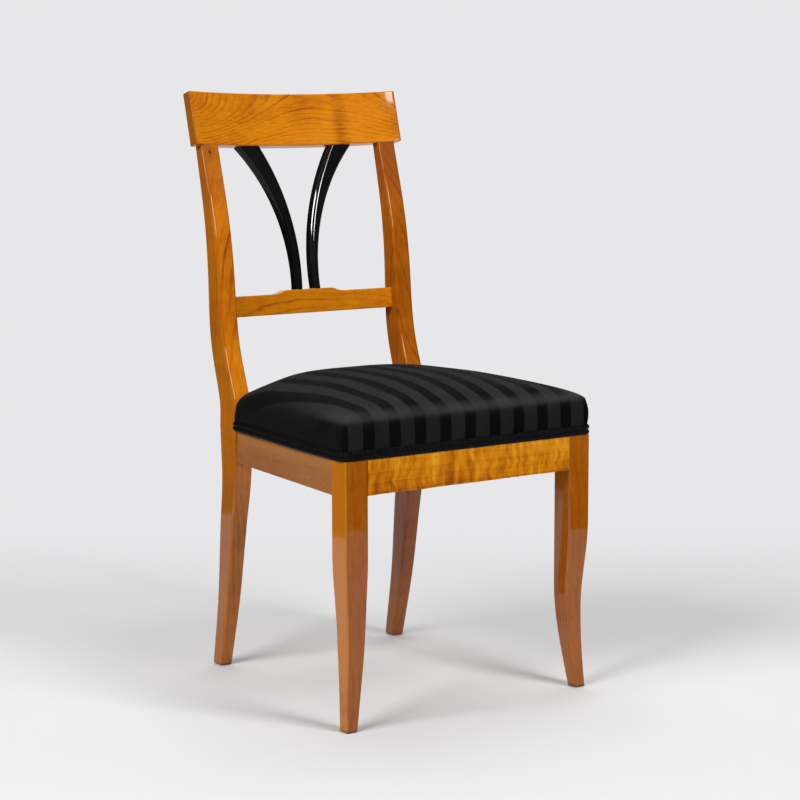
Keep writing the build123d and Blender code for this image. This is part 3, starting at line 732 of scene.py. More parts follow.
@dataclass(frozen=True)
class StripedCloth:
    """Black cloth with satin stripes on a matte ground, which run with the seat and down its front.

    Of the vertices' attributes, cloth_run is how far across the cloth a point is, in metres,
    cloth_plain how far its stripes fade in painted shade, cloth_worn how much dust and painted
    sheen it has, and cloth_top how much painted light it has.
    """

    name: str = "striped_black_cloth"
    satin: Colour = (0.0032, 0.0032, 0.0034)
    matte: Colour = (0.0165, 0.0165, 0.0172)
    matte_top: Colour = (0.0250, 0.0248, 0.0252)
    dust: Colour = (0.05, 0.05, 0.053)
    lint: Colour = (0.16, 0.16, 0.17)
    pitch: float = 0.0436
    satin_share: float = 0.45
    satin_centre: float = -0.0035
    stripe_blur: float = 0.012
    plain_share: float = 0.32
    thread: float = 0.0011

    def make(self) -> Material:
        """Builds the material.

        Returns:
            The finished material.
        """
        graph = Graph(self.name)
        axes = _, y, z = graph.object_axes()
        run = graph.attribute("cloth_run")
        fuzz = graph.noise(axes, 900)
        cloud = graph.noise(axes, 26, detail=3.0)
        lint = graph.noise(axes, 420, detail=1.0).band(0.74, 0.82)
        place = (run - self.satin_centre + (fuzz - 0.5) * 0.0006) / self.pitch + 0.5
        half = self.satin_share / 2
        offset = (place.fract() - 0.5).size()
        stripe = offset.band(half - self.stripe_blur, half + self.stripe_blur)
        # painted shade: on the sides, where cloth_plain marks, the stripes fade to one even, dark
        # tone
        ground = stripe + (self.plain_share - stripe) * graph.attribute("cloth_plain")
        weft = (y + z) / self.thread
        twill = (run / self.thread + weft * 0.5).wave()
        weave = ground * twill + (1 - ground) * weft.wave() * 0.45
        # painted light: the matte stripes paler where cloth_top marks the top of the seat
        matte = graph.blend(graph.attribute("cloth_top"), self.matte, self.matte_top)
        colour = graph.blend(ground, self.satin, matte)
        shade = 0.72 + weave * 0.3 + (cloud - 0.5) * 0.5 + (fuzz - 0.5) * 0.9
        colour = graph.blend(1.0, colour, graph.join(shade, shade, shade), "MULTIPLY")
        # dust and painted sheen: the front roll lightened, partly dust, partly the light the roll
        # catches
        dust_and_sheen_share = graph.attribute("cloth_worn") * (0.3 + fuzz * 0.4 + (cloud - 0.5) * 0.9)
        colour = graph.blend(dust_and_sheen_share, colour, self.dust)
        graph.set(
            Base_Color=graph.blend(lint * 0.1, colour, self.lint),
            Roughness=0.72 + ground * 0.16 + (cloud - 0.5) * 0.1,
            Normal=graph.bump(weave + fuzz * 0.6, 0.35, 0.0005),
            Specular_IOR_Level=0.03,
            Sheen_Weight=0.02,
            Sheen_Roughness=0.4,
            Sheen_Tint=(0.62, 0.63, 0.68),
        )
        return graph.material


@dataclass(frozen=True)
class ThreadFinish:
    """Cloth of plain threads, for braid, webbing and hessian."""

    name: str
    dark: Colour
    light: Colour
    thread: float
    roughness: float = 0.85
    sheen: float = 0.15
    specular: float = 0.25
    wobble: float = 0.0006

    def make(self) -> Material:
        """Builds the material.

        Returns:
            The finished material.
        """
        graph = Graph(self.name)
        axes = x, y, z = graph.object_axes()
        wobble = (graph.noise(axes, 160) - 0.5) * self.wobble
        warp = ((x + wobble) / self.thread).wave()
        weft = ((y + z + wobble) / self.thread).wave()
        weave = warp * weft + (1 - warp) * (1 - weft)
        cloud = graph.noise(axes, 60, detail=3.0) - 0.5
        slub = graph.noise(axes, 900)
        tone = weave * 0.6 + cloud * 0.5 + (slub - 0.5) * 0.4 + 0.1
        graph.set(
            Base_Color=graph.blend(tone, self.dark, self.light),
            Roughness=self.roughness + cloud * 0.1,
            Normal=graph.bump(weave + slub * 0.5, 0.6, 0.0006),
            Specular_IOR_Level=self.specular,
            Sheen_Weight=self.sheen,
            Sheen_Roughness=0.4,
        )
        return graph.material


@dataclass(frozen=True)
class RawWood:
    """Sawn, unfinished secondary wood."""

    name: str = "sawn_frame_wood"
    dark: Colour = (0.30, 0.19, 0.10)
    light: Colour = (0.56, 0.42, 0.26)
    saw_pitch: float = 0.0042

    def make(self) -> Material:
        """Builds the material.

        Returns:
            The finished material.
        """
        graph = Graph(self.name)
        axes = graph.object_axes()
        fibre = graph.noise(axes, (14, 320, 320), detail=3.0, rough=0.6)
        saw = ((axes[0] + (fibre - 0.5) * 0.004) / self.saw_pitch).wave()
        stain = graph.noise(axes, 18, detail=3.0)
        graph.set(
            Base_Color=graph.blend(fibre * 0.55 + stain * 0.5 - 0.05, self.dark, self.light),
            Roughness=0.72 + (stain - 0.5) * 0.2,
            Normal=graph.bump(saw * 0.4 + fibre, 0.3, 0.0005),
            Specular_IOR_Level=0.3,
        )
        return graph.material


@dataclass(frozen=True)
class SteelFinish:
    """Dull drawn steel with a little rust."""

    name: str = "dull_steel"
    bright: Colour = (0.36, 0.36, 0.37)
    rust: Colour = (0.13, 0.06, 0.03)

    def make(self) -> Material:
        """Builds the material.

        Returns:
            The finished material.
        """
        graph = Graph(self.name)
        axes = graph.object_axes()
        cloud = graph.noise(axes, 90, detail=4.0, rough=0.6)
        grit = graph.noise(axes, 900)
        spots = (cloud * 0.75 + grit * 0.25).band(0.52, 0.66)
        graph.set(
            Base_Color=graph.blend(spots, self.bright, self.rust),
            Roughness=0.34 + spots * 0.4 + (grit - 0.5) * 0.1,
            Metallic=1 - spots * 0.7,
            Normal=graph.bump(grit + spots, 0.2, 0.0002),
        )
        return graph.material


@dataclass(frozen=True)
class PaperSweep:
    """The pale studio paper: lit by the lamps under the chair, and evenly pale behind it."""

    name: str = "studio_paper"
    pale: Colour = (0.91, 0.91, 0.922)
    near: Colour = (0.80, 0.80, 0.812)
    near_span: Pair = (-0.55, 0.1)
    behind: Colour = (0.80, 0.80, 0.815)
    fade: Pair = (0.2, 1.15)
    cloud_shade: float = 0.985

    def make(self) -> Material:
        """Builds the material.

        Returns:
            The finished material.
        """
        graph = Graph(self.name)
        axes = graph.object_axes()
        turn = math.radians(CAMERA_TURN)
        back = axes[1] * math.cos(turn) - axes[0] * math.sin(turn)
        dimmed = tuple(c * self.cloud_shade for c in self.pale)
        colour = graph.blend(graph.noise(axes, 0.8), self.pale, dimmed)
        # painted shade: the paper near the camera is darker, fading out further back
        colour = graph.blend(back.band(*self.near_span), self.near, colour)
        graph.set(Base_Color=colour, Roughness=0.85, Specular_IOR_Level=0.15)
        seen = graph.node("ShaderNodeLightPath", {}, {}, "Is Camera Ray")
        outputs = seen.socket.node.outputs
        for ray in ("Is Glossy Ray", "Is Transmission Ray"):
            seen = seen + Signal(graph, outputs[ray])
        share = (seen - (seen - 1).above(0.0)) * back.band(*self.fade)
        glow = graph.node("ShaderNodeEmission", {}, {"Color": self.behind, "Strength": 1.0})
        paper = Signal(graph, graph.shader.outputs[0])
        mixed = graph.node("ShaderNodeMixShader", {}, {0: share, 1: paper, 2: glow})
        surface = graph.tree.nodes["Material Output"].inputs["Surface"]
        graph.tree.links.new(mixed.socket, surface)
        return graph.material


class Bench:
    """A block of wood or cloth on the bench, shaped by mesh operators."""

    def __init__(self) -> None:
        """Starts with an empty mesh."""
        self.bm = bmesh.new()
        self.runs: list[Edge] = []
        self.rims: list[Edge] = []

    def block(self, along: int, cuts: int) -> "Bench":
        """Starts a unit block in 0 to 1, sliced along one direction.

        Args:
            along: The direction's number.
            cuts: How many slices it gets.

        Returns:
            The bench itself.
        """
        bmesh.ops.create_cube(self.bm, size=1.0, matrix=Matrix.Translation((0.5, 0.5, 0.5)))
        longs = [e for e in self.bm.edges if abs((e.verts[0].co - e.verts[1].co)[along]) > 0.5]
        bmesh.ops.subdivide_edges(self.bm, edges=longs, cuts=cuts, use_grid_fill=True)
        for edge in self.bm.edges:
            first, second = edge.verts[0].co, edge.verts[1].co
            if abs(first[along] - second[along]) > MERGE:
                self.runs.append(edge)
            elif min(first[along], 1 - first[along]) < MERGE:
                self.rims.append(edge)
        return self

    def grid(self, across: int, along: int) -> "Bench":
        """Starts a flat grid in 0 to 1, with so many cells each way."""
        bmesh.ops.create_grid(self.bm, x_segments=across, y_segments=along, size=0.5)
        bmesh.ops.translate(self.bm, verts=self.bm.verts, vec=(0.5, 0.5, 0.0))
        return self

    def shape(self, move: Mover) -> "Bench":
        """Moves every vertex by a rule, and turns the faces outwards again.

        Args:
            move: The rule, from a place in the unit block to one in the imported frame.

        Returns:
            The bench itself.
        """
        for vertex in self.bm.verts:
            vertex.co = move(vertex.co)
        bmesh.ops.recalc_face_normals(self.bm, faces=self.bm.faces)
        self.bm.normal_update()
        return self

    def ease(self, edges: Sequence[Edge], radius: float, segments: int = 4) -> "Bench":
        """Rounds edges.

        Args:
            edges: The edges.
            radius: How far the rounding reaches, in the mesh's units.
            segments: How many facets it has.

        Returns:
            The bench itself.
        """
        bmesh.ops.bevel(
            self.bm,
            geom=list(edges),
            offset=radius,
            offset_type="OFFSET",
            affect="EDGES",
            segments=segments,
            profile=0.5,
            clamp_overlap=True,
            material=-1,
        )
        return self

    def post(self, cuts: int, move: Mover, radius: float) -> "Bench":
        """Shapes an upright post, with rounded long edges and a rounded sole.

        Args:
            cuts: How many slices it gets along its height.
            move: The rule that shapes it.
            radius: How far the rounding reaches, in metres.

        Returns:
            The bench itself.
        """
        self.block(2, cuts)
        soles = [e for e in self.rims if e.verts[0].co.z < 0.5]
        return self.shape(move).ease([*self.runs, *soles], radius)

    def cut(self, point: Vector, normal: Vector) -> "Bench":
        """Saws off what lies beyond a plane, and closes the end.

        Args:
            point: A point of the plane.
            normal: The plane's normal, on the side that is sawn off.

        Returns:
            The bench itself.
        """
        geometry = [*self.bm.verts, *self.bm.edges, *self.bm.faces]
        found = bmesh.ops.bisect_plane(
            self.bm, geom=geometry, dist=MERGE, plane_co=point, plane_no=normal, clear_outer=True
        )
        rim = [e for e in found["geom_cut"] if isinstance(e, Edge)]
        bmesh.ops.holes_fill(self.bm, edges=rim, sides=0)
        return self

    def solid(self, thickness: float, upward: bool = False) -> "Bench":
        """Gives a sheet its thickness, against its normals.

        Args:
            thickness: The thickness in metres.
            upward: Whether the normals are turned up first.

        Returns:
            The bench itself.
        """
        bmesh.ops.recalc_face_normals(self.bm, faces=self.bm.faces)
        if upward and self.bm.faces[:][0].normal.z < 0:
            bmesh.ops.reverse_faces(self.bm, faces=self.bm.faces)
        bmesh.ops.solidify(self.bm, geom=list(self.bm.faces), thickness=thickness)
        return self

    def finish(
        self, name: str, material: Material, sharp: float = SHARP_ANGLE, even: bool = True
    ) -> Piece:
        """Turns the bench's mesh into an object.

        Args:
            name: The piece's name.
            material: Its material.
            sharp: The angle in degrees over which an edge stays sharp.
            even: Whether large faces take more part in the shading.

        Returns:
            The new object.
        """
        bmesh.ops.remove_doubles(self.bm, verts=self.bm.verts, dist=MERGE)
        bmesh.ops.recalc_face_normals(self.bm, faces=self.bm.faces)
        for face in self.bm.faces:
            face.smooth = True
        mesh = bpy.data.meshes.new(name)
        self.bm.to_mesh(mesh)
        self.bm.free()
        mesh.set_sharp_from_angle(angle=math.radians(sharp))
        mesh.materials.append(material)
        piece = bpy.data.objects.new(name, mesh)
        bpy.context.scene.collection.objects.link(piece)
        if even:
            piece.modifiers.new("even_shading", "WEIGHTED_NORMAL").keep_sharp = True
        return piece


def settle(piece: Piece, slot: str, *nodes: str) -> None:
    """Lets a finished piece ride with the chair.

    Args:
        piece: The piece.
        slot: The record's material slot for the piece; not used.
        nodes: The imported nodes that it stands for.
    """
    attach(piece, BODY)
    if nodes:
        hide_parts(*nodes)
    LOG.info("made %s for %s", piece.name, ", ".join(nodes) or "itself")


def board(bench: Bench, name: str, material: Material, slot: str = "cherry") -> None:
    """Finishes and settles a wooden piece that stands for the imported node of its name."""
    settle(bench.finish(f"{name}_board", material), slot, name)


@dataclass(frozen=True)
class Tilted:
    """A raked frame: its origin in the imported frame, and its rake in degrees."""

    origin: Vector
    rake: float

    @property
    def up(self) -> Vector:
        """The upward direction."""
        return Vector((0, math.sin(math.radians(self.rake)), math.cos(math.radians(self.rake))))

    @property
    def back(self) -> Vector:
        """The backward direction."""
        return Vector((0, self.up.z, -self.up.y))

    def point(self, x: float, y: float, z: float) -> Vector:
        """A point that is drawn in this frame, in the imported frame."""
        return self.origin + (Vector((x, 0, 0)) + self.back * y + self.up * z) * MM


@dataclass
class ChairPlan:
    """The sizes that several pieces share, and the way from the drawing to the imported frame."""

    front_width: float = 434.0
    rear_width: float = 358.0
    seat_depth: float = 360.0
    seat_line: float = 384.0
    seat_drop: float = 4.0
    total_height: float = 890.0
    leg_width: float = 38.0
    leg_depth: float = 36.0
    stile_thickness: float = 31.0
    stile_seat_depth: float = 46.5
    rail_visible: float = 50.0
    rail_hidden: float = 14.0
    rail_thickness: float = 24.0
    side_rail_recess: float = 3.0
    back_rail_recess: float = 6.5
    crest_length: float = 379.0
    crest_sag: float = 20.0
    crest_height: float = 83.0
    crest_rake: float = 15.0
    crest_setback: float = 84.5
    front: float = 0.0

    def __post_init__(self) -> None:
        """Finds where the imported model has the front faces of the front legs."""
        self.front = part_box("front_leg_right")[0].y / MM

    @property
    def stile_inner(self) -> float:
        """Distance of a stile's inner face from the chair's middle."""
        return self.rear_width / 2 - self.stile_thickness

    @property
    def back_face(self) -> float:
        """Place of the back rail's rear face."""
        return self.seat_depth + self.stile_seat_depth - self.back_rail_recess

    @property
    def crest_front(self) -> float:
        """Place of the crest's front edge at its ends."""
        return self.seat_depth + self.crest_setback

    @property
    def crest_bottom(self) -> float:
        """Height of the crest's underside at its ends."""
        return self.total_height - self.crest_height * math.cos(math.radians(self.crest_rake))

    @property
    def crest(self) -> Tilted:
        """The crest's frame, which starts at the front of its underside."""
        return Tilted(self.point(0, self.crest_front, self.crest_bottom), self.crest_rake)

    def point(self, x: float, y: float, z: float) -> Vector:
        """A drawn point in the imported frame, in metres."""
        return Vector((x, y + self.front, z)) * MM

    def on_seat(self, x: float, y: float, rise: float) -> Vector:
        """A point over the seat's slightly falling tack line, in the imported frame."""
        return self.point(x, y, self.seat_line - self.seat_drop * y / self.seat_depth + rise)

    def side_line(self, y: float, inset: float) -> float:
        """How far a line set in from the side rail's outer face is from the middle.

        Args:
            y: The depth in the chair.
            inset: How far the line is set in, square to the rail.

        Returns:
            The distance across.
        """
        start = self.front_width / 2
        end = self.rear_width / 2 - self.side_rail_recess
        slope = (end - start) / (self.seat_depth - self.leg_depth)
        return start + (y - self.leg_depth) * slope - inset * math.hypot(1.0, slope)


@dataclass
class FrontLegs:
    """The two front legs: hollowed on the front and the outer side, tapered on the inner ones."""

    plan: ChairPlan
    knee: float = LEG_KNEE
    hollow_height: float = LEG_HOLLOW_HEIGHT
    hollow_depth: float = LEG_HOLLOW_DEPTH
    toe: float = LEG_TOE
    taper_height: float = 160.0
    foot_width: float = 18.0
    foot_depth: float = 20.5
    taper_ease: float = 1.35
    arris: float = 2.4
    slices: int = 90

    def shaped(self, z: float) -> float:
        """How far a shaped face lies in from the leg's outer line.

        Args:
            z: The height.

        Returns:
            The distance.
        """
        if z > self.knee:
            return 0.0
        deepest = (self.hollow_depth, self.hollow_height)
        if z < self.hollow_height:
            lean = 2 * (self.hollow_depth - self.toe) / self.hollow_height
            return hermite((self.toe, 0.0), deepest, (lean, 0.0))(z)
        return hermite(deepest, (0.0, self.knee), (0.0, 0.0))(z)

    def plain(self, z: float, size: float, foot: float) -> float:
        """How far a plain, tapered face lies from the leg's outer line.

        Args:
            z: The height.
            size: The leg's size over the taper.
            foot: Its size at the floor.

        Returns:
            The distance.
        """
        if z > self.taper_height:
            return size
        lean = self.taper_ease * (size - foot - self.toe) / self.taper_height
        return hermite((self.toe + foot, 0.0), (size, self.taper_height), (lean, 0.0))(z)

    def build(self, hand: Hand, material: Material) -> None:
        """Makes one leg.

        Args:
            hand: Which leg.
            material: Its finish.
        """
        plan = self.plan

        def move(co: Vector) -> Vector:
            """Where a point of the unit block goes."""
            z = co.z * plan.seat_line
            inset = mix(self.shaped(z), self.plain(z, plan.leg_width, self.foot_width), co.x)
            y = mix(self.shaped(z), self.plain(z, plan.leg_depth, self.foot_depth), co.y)
            return plan.point(hand.value * (plan.front_width / 2 - inset), y, z)

        bench = Bench().post(self.slices, move, self.arris * MM)
        board(bench, f"front_leg_{hand.word}", material)


@dataclass
class Stiles:
    """The two stiles: rear leg and back post in one sawn plank.

    A sweep's pairs say how far along a stretch a station is, and its share of the setback there.
    """

    plan: ChairPlan
    top_depth: float = 20.0
    foot_depth: float = 24.5
    foot_width: float = 21.5
    foot_inset: float = 4.5
    foot_setback: float = 60.5
    flat_margin: float = 4.0
    sweep_below: tuple[Pair, ...] = ((0.64, 0.54), (0.27, 0.21))
    sweep_above: tuple[Pair, ...] = ((0.12, 0.14), (0.245, 0.335), (0.49, 0.485), (0.735, 0.665))
    spare: float = 24.0
    arris: float = 3.9
    slices: int = 110

    @property
    def flat_low(self) -> float:
        """Height where the straight stretch at the seat starts."""
        plan = self.plan
        return plan.seat_line - plan.rail_visible - plan.seat_drop - self.flat_margin

    @property
    def flat_high(self) -> float:
        """Height where the straight stretch at the seat ends."""
        return self.plan.seat_line + self.plan.rail_hidden + self.flat_margin

    def depth(self, z: float) -> float:
        """Depth of a stile.

        Args:
            z: The height.

        Returns:
            The depth.
        """
        plan = self.plan
        if z < plan.seat_line:
            return mix(self.foot_depth, plan.stile_seat_depth, z / plan.seat_line)
        share = (z - plan.seat_line) / (plan.crest_bottom - plan.seat_line)
        return mix(plan.stile_seat_depth, self.top_depth, min(1.0, share))

    def front_line(self) -> Line:
        """The front edge in side view.

        Returns:
            A function from height to depth in the chair.
        """
        plan = self.plan
        seat, back = plan.seat_depth, self.foot_setback
        low = [(seat + back, 0.0)]
        low += [(seat + back * s, self.flat_low * (1 - h)) for h, s in self.sweep_below]
        low += [(seat, self.flat_low)]
        foot_lean = (low[1][0] - low[0][0]) / (low[1][1] - low[0][1])
        below = clamped_spline(low, (foot_lean, 0.0))
        rake = math.radians(plan.crest_rake)
        middle = plan.rear_width / 2 - plan.stile_thickness / 2
        set_back = hollow(middle, plan.crest_length, plan.crest_sag)
        top_y = plan.crest_front + set_back * math.cos(rake)
        top_z = plan.crest_bottom - set_back * math.sin(rake)
        back, rise = top_y - seat, top_z - self.flat_high
        high = [(seat, self.flat_high)]
        high += [(seat + back * s, self.flat_high + rise * h) for h, s in self.sweep_above]
        high += [(top_y, top_z)]
        above = clamped_spline(high, (0.0, math.tan(rake)))

        def front(z: float) -> float:
            """The front edge's depth in the chair at a height."""
            if z <= self.flat_low:
                return below(z)
            if z <= self.flat_high:
                return seat
            return above(z) if z < top_z else top_y + (z - top_z) * math.tan(rake)

        return front

    def build(self, hand: Hand, material: Material) -> None:
        """Makes one stile.

        Args:
            hand: Which stile.
            material: Its finish.
        """
        plan = self.plan
        front = self.front_line()

        def move(co: Vector) -> Vector:
            """Where a point of the unit block goes."""
            z = co.z * (plan.crest_bottom + self.spare)
            taper = clamp01(1 - z / self.flat_low)
            outer = plan.rear_width / 2 - self.foot_inset * taper
            x = outer - mix(plan.stile_thickness, self.foot_width, taper) * co.x
            return plan.point(hand.value * x, front(z) + self.depth(z) * co.y, z)

        bench = Bench().post(self.slices, move, self.arris * MM)
        bench.cut(plan.crest.origin, plan.crest.up)
        board(bench, f"rear_stile_{hand.word}", material)


@dataclass
class CrestRail:
    """The broad top board, raked back and hollowed to the sitter."""

    plan: ChairPlan
    thickness: float = 20.0
    arris: float = 1.9
    slices: int = 70

    def build(self, material: Material) -> None:
        """Makes the board.

        Args:
            material: Its finish.
        """
        plan = self.plan

        def move(co: Vector) -> Vector:
            """Where a point of the unit block goes."""
            x = (co.x - 0.5) * plan.crest_length
            y = co.y * self.thickness + hollow(x, plan.crest_length, plan.crest_sag)
            return plan.crest.point(x, y, co.z * plan.crest_height)

        bench = Bench().block(0, self.slices).shape(move)
        bench.ease([*bench.runs, *bench.rims], self.arris * MM)
        board(bench, "crest_rail", material)


@dataclass
class StayRail:
    """The lower cross rail, with a raised seat for the splats."""

    plan: ChairPlan
    height: float = 32.0
    bottom: float = 545.5
    thickness: float = 18.0
    setback: float = 51.0
    sag: float = 13.5
    rake: float = 6.0
    raised: float = 5.5
    raised_half: float = 40.0
    ramp: float = 23.0
    arris: float = 1.8
    slices: int = 80
    tuck: float = 1.0

    @property
    def frame(self) -> Tilted:
        """The rail's frame, which starts at the front of its underside."""
        origin = self.plan.point(0, self.plan.seat_depth + self.setback, self.bottom)
        return Tilted(origin, self.rake)

    def build(self, material: Material) -> None:
        """Makes the rail.

        Args:
            material: Its finish.
        """
        length = 2 * (self.plan.stile_inner + self.tuck)

        def move(co: Vector) -> Vector:
            """Where a point of the unit block goes."""
            x = (co.x - 0.5) * length
            y = co.y * self.thickness + hollow(x, length, self.sag)
            lift = self.raised * smooth(abs(x), self.raised_half + self.ramp, self.raised_half)
            return self.frame.point(x, y, co.z * (self.height + lift))

        bench = Bench().block(0, self.slices).shape(move)
        board(bench.ease(bench.runs, self.arris * MM), "stay_rail", material)


@dataclass
class Splats:
    """The two black splats that spread from the stay rail to the crest.

    The foot, waist and head say how far the inner and outer edges are from the middle there.
    """

    plan: ChairPlan
    stay: StayRail
    thickness: float = 15.5
    recess: float = -0.5
    lean: float = 9.1
    foot: Pair = (9.7, 24.1)
    waist: Pair = (19.5, 40.5)
    head: Pair = (65.0, 106.5)
    waist_share: float = 0.525
    front_round: float = 6.8
    front_steps: int = 16
    arris: float = 1.0
    arris_steps: int = 4
    face_limit: float = 0.02
    flat_polish: float = 0.35
    polish_run: float = 1.5
    spare: float = 16.0
    slices: int = 160
    polish: dict[Hand, float] = field(default_factory=lambda: {Hand.LEFT: 0.2, Hand.RIGHT: 1.0})

    def section(self) -> list[tuple[int, float, float]]:
        """A splat's section, rounded much in front and little at the back.

        Returns:
            For each point the nearer edge's number, the distance from there, and the depth.
        """
        points = []
        front, rear = (self.front_round, self.front_steps), (self.arris, self.arris_steps)
        for edge, behind in ((0, False), (1, False), (1, True), (0, True)):
            radius, steps = rear if behind else front
            arc = []
            for step in range(steps + 1):
                turn = QUARTER_TURN * step / steps
                inset, depth = radius * (1 - math.cos(turn)), radius * (1 - math.sin(turn))
                arc.append((edge, inset, self.thickness - depth if behind else depth))
            points += arc if (edge == 0) is not behind else arc[::-1]
        return points

    def build(self, hand: Hand, material: Material) -> None:
        """Makes one splat.

        Args:
            hand: Which splat.
            material: Its finish.
        """
        stay, crest = self.stay.frame, self.plan.crest
        stay_top = self.stay.height + self.stay.raised
        frame = Tilted(stay.point(0, self.stay.sag + self.recess, stay_top), self.lean)
        length = (crest.origin - frame.origin).dot(crest.up) / frame.up.dot(crest.up) / MM
        waist = length * self.waist_share
        stations = zip(self.foot, self.waist, self.head)
        edges = [arc_through((a, 0.0), (b, waist), (c, length)) for a, b, c in stations]
        section = self.section()

        def move(co: Vector) -> Vector:
            """Where a point of the unrolled splat goes."""
            edge, inset, depth = section[round(co.x * len(section)) % len(section)]
            v = mix(-self.spare, length + self.spare, co.y)
            slope = edges[edge](v + 0.5) - edges[edge](v - 0.5)
            x = edges[edge](v) + (1 - 2 * edge) * inset * math.hypot(1, slope)
            return frame.point(hand.value * x, depth, v)

        bench = Bench().grid(len(section), self.slices).shape(move)
        bmesh.ops.remove_doubles(bench.bm, verts=bench.bm.verts, dist=MERGE)
        bench.cut(crest.origin, crest.up).cut(stay.point(0, 0, stay_top), -stay.up)
        polish = bench.bm.verts.layers.float.new("polish")
        for vertex in bench.bm.verts:
            depth = (vertex.co - frame.origin).dot(frame.back) / MM
            flat = smooth(depth, self.front_round - self.polish_run, self.front_round)
            flat = 1.0 if depth < self.face_limit else flat
            vertex[polish] = mix(1.0, self.flat_polish, flat) * self.polish[hand]
        board(bench, f"splat_{hand.word}", material, "ebonised_wood")


@dataclass
class SeatRails:
    """The rails of the seat frame that show: sides, back and the veneer on the front."""

    plan: ChairPlan
    arris: float = 1.5
    tuck: float = 1.0
    slices: int = 60
    rebate: float = 3.0
    veneer: float = 1.2
    veneer_recess: float = 0.3
    veneer_lap: float = 0.2
    veneer_lip: float = 0.4
    veneer_arris: float = 0.4
    veneer_facets: int = 2
    face_limit: float = 0.6
    wave: float = 0.35
    wave_runs: Pair = (17.0, 7.3)
    wave_share: float = 0.6
    wave_start: float = 1.0
    wave_level: float = 1.1

    def rail(self, along: int, move: Mover) -> Bench:
        """Shapes a rail, with its lower edges rounded.

        Args:
            along: The number of the direction that it runs in.
            move: The rule that shapes it.

        Returns:
            The bench that holds it.
        """
        bench = Bench().block(along, self.slices).shape(move)
        middle = (self.plan.seat_line - self.plan.rail_visible / 2) * MM
        low = [e for e in bench.runs if e.verts[0].co.z < middle]
        return bench.ease(low, self.arris * MM)

    def set_in(self, share: float, up: float) -> float:
        """How far a point lies in from a rail's outer face, which is rebated at the top."""
        return max(share * self.plan.rail_thickness, self.rebate if up > 0.5 else 0.0)

    def side(self, hand: Hand, material: Material) -> None:
        """Makes one side rail.

        Args:
            hand: Which rail.
            material: Its finish.
        """
        plan = self.plan

        def move(co: Vector) -> Vector:
            """Where a point of the unit block goes."""
            y = mix(plan.leg_depth - self.tuck, plan.seat_depth + self.tuck, co.y)
            x = hand.value * plan.side_line(y, self.set_in(co.x, co.z))
            return plan.on_seat(x, y, mix(-plan.rail_visible, plan.rail_hidden, co.z))

        board(self.rail(1, move), f"side_seat_rail_{hand.word}", material)

    def rear(self, material: Material) -> None:
        """Makes the back rail.

        Args:
            material: Its finish.
        """
        plan = self.plan
        half = plan.stile_inner + self.tuck

        def move(co: Vector) -> Vector:
            """Where a point of the unit block goes."""
            y = plan.back_face - self.set_in(1 - co.y, co.z)
            rise = mix(-plan.rail_visible, plan.rail_hidden, co.z)
            return plan.on_seat(mix(-half, half, co.x), y, rise)

        board(self.rail(0, move), "back_seat_rail", material)

    def front(self, material: Material) -> None:
        """Makes the figured panel on the front rail, with its slightly wavy lower edge.

        Args:
            material: Its finish.
        """
        plan = self.plan
        half = plan.front_width / 2 - plan.leg_width + self.veneer_lap
        slow, quick = self.wave_runs

        def move(co: Vector) -> Vector:
            """Where a point of the unit block goes."""
            x = mix(-half, half, co.x)
            swing = self.wave_share * math.sin(x / quick + self.wave_start) - self.wave_level
            lower = plan.rail_visible + self.wave * (math.sin(x / slow) + swing) + self.veneer_lip
            y = mix(self.veneer_recess, self.veneer, co.y)
            return plan.on_seat(x, y, mix(-lower, 0.0, co.z))

        bench = Bench().block(0, self.slices).shape(move)
        face = (plan.front + self.face_limit) * MM
        edges = [e for e in bench.runs if e.verts[0].co.y < face]
        bench.ease(edges, self.veneer_arris * MM, self.veneer_facets)
        piece = bench.finish("front_rail_panel", material)
        settle(piece, "cherry_veneer", "front_rail_veneer")


